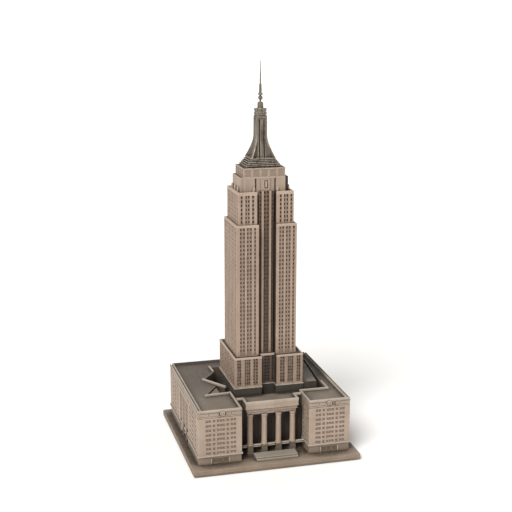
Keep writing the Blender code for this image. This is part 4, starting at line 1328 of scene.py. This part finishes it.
def build_floor():
    """Pale paper floor that curves up all round, far from the object."""
    bm = bmesh.new()
    rings = [[bm.verts.new((x, y, z)) for x, y in circle(radius, BOWL_SIDES)] for radius, z in BOWL]
    bm.faces.new(rings[0])
    for inner, outer in zip(rings, rings[1:]):
        for i in range(BOWL_SIDES):
            j = (i + 1) % BOWL_SIDES
            bm.faces.new((inner[i], outer[i], outer[j], inner[j]))
    mesh = bpy.data.meshes.new("floor")
    bm.to_mesh(mesh)
    bm.free()
    mesh.materials.append(FINISHES["pale_floor"])
    mesh.shade_smooth()
    floor = bpy.data.objects.new("floor", mesh)
    bpy.context.scene.collection.objects.link(floor)


def set_light():
    """A broad key light from the front left, under an even sky."""
    sun = bpy.data.lights.new("key", "SUN")
    sun.energy, sun.angle = KEY_STRENGTH, KEY_SOFTNESS
    key = bpy.data.objects.new("key", sun)
    key.rotation_euler = (pi / 2 - KEY_ELEVATION, 0.0, KEY_AZIMUTH)
    bpy.context.scene.collection.objects.link(key)

    world = bpy.data.worlds.new("studio")
    world.use_nodes = True
    sky = world.node_tree.nodes["Background"].inputs
    sky["Color"].default_value, sky["Strength"].default_value = SKY_COLOUR, SKY_STRENGTH
    bpy.context.scene.world = world
    bpy.context.scene.view_settings.view_transform = "Standard"


def set_camera():
    """Camera at the photograph's viewing angle."""
    back = Vector((sin(AZIMUTH) * cos(ELEVATION), -cos(AZIMUTH) * cos(ELEVATION), sin(ELEVATION)))
    right = (-back).cross(Vector((0, 0, 1))).normalized()
    up = right.cross(-back)
    rolled = right * cos(ROLL) + up * sin(ROLL)
    upright = up * cos(ROLL) - right * sin(ROLL)
    lens = bpy.data.cameras.new("camera")
    lens.lens, lens.sensor_width, lens.clip_start = LENS, SENSOR, 0.01
    camera = bpy.data.objects.new("camera", lens)
    camera.matrix_world = (Matrix.Translation(AIM + back * DISTANCE)
                           @ Matrix((rolled, upright, back)).transposed().to_4x4())
    bpy.context.scene.collection.objects.link(camera)
    bpy.context.scene.camera = camera


def finish_cad_nodes():
    """Finishes of the CAD nodes that stay as they are."""
    slots = {part["node"]: part["material_slot"] for part in frame["record"]["subparts"]}
    # The podium core gets the dark court finish: painted shade
    own = {"podium_core": "court", "left_terrace": "terrace"}
    for name, node in frame["nodes"].items():
        if node.hide_render:
            continue
        node.data.materials.clear()
        node.data.materials.append(FINISHES[own.get(name, slots[name])])


build_floor()
set_light()
set_camera()
build_roof_edges(build_podium())
build_slab()
build_steps()
for NUMBER, NODE in numbered("portico_column"):
    build_column(NUMBER, NODE)
    build_pedestal(NUMBER, f"portico_pedestal_{NUMBER}")
for NUMBER, NODE in numbered("portico_rail"):
    build_rail(NUMBER, NODE)
build_entablature()
build_porch()
for SIDE in ("left", "right"):
    build_emblem(SIDE)
for SIDE in ("left", "right"):
    build_side_rail(SIDE)
build_lower_block()
build_tier("tower_shaft", RECESS_SHAFT, SHAFT_GROUPS, 8, 1.5, SHAFT_PANE)
build_tier("tower_upper_tier", RECESS_UPPER, UPPER_GROUPS, 7, 1.9, UPPER_PANE)
build_spine("spine_front", 0)
build_spine("spine_back", 2)
build_crown()
build_band()
build_annex()
BASE = box("mast_base")
MAST_CENTRE = ((BASE[0] + BASE[3]) / 2, (BASE[1] + BASE[4]) / 2)
build_mast_steps(MAST_CENTRE)
build_wings(MAST_CENTRE)
build_cap(MAST_CENTRE)
build_antenna(MAST_CENTRE)
finish_cad_nodes()
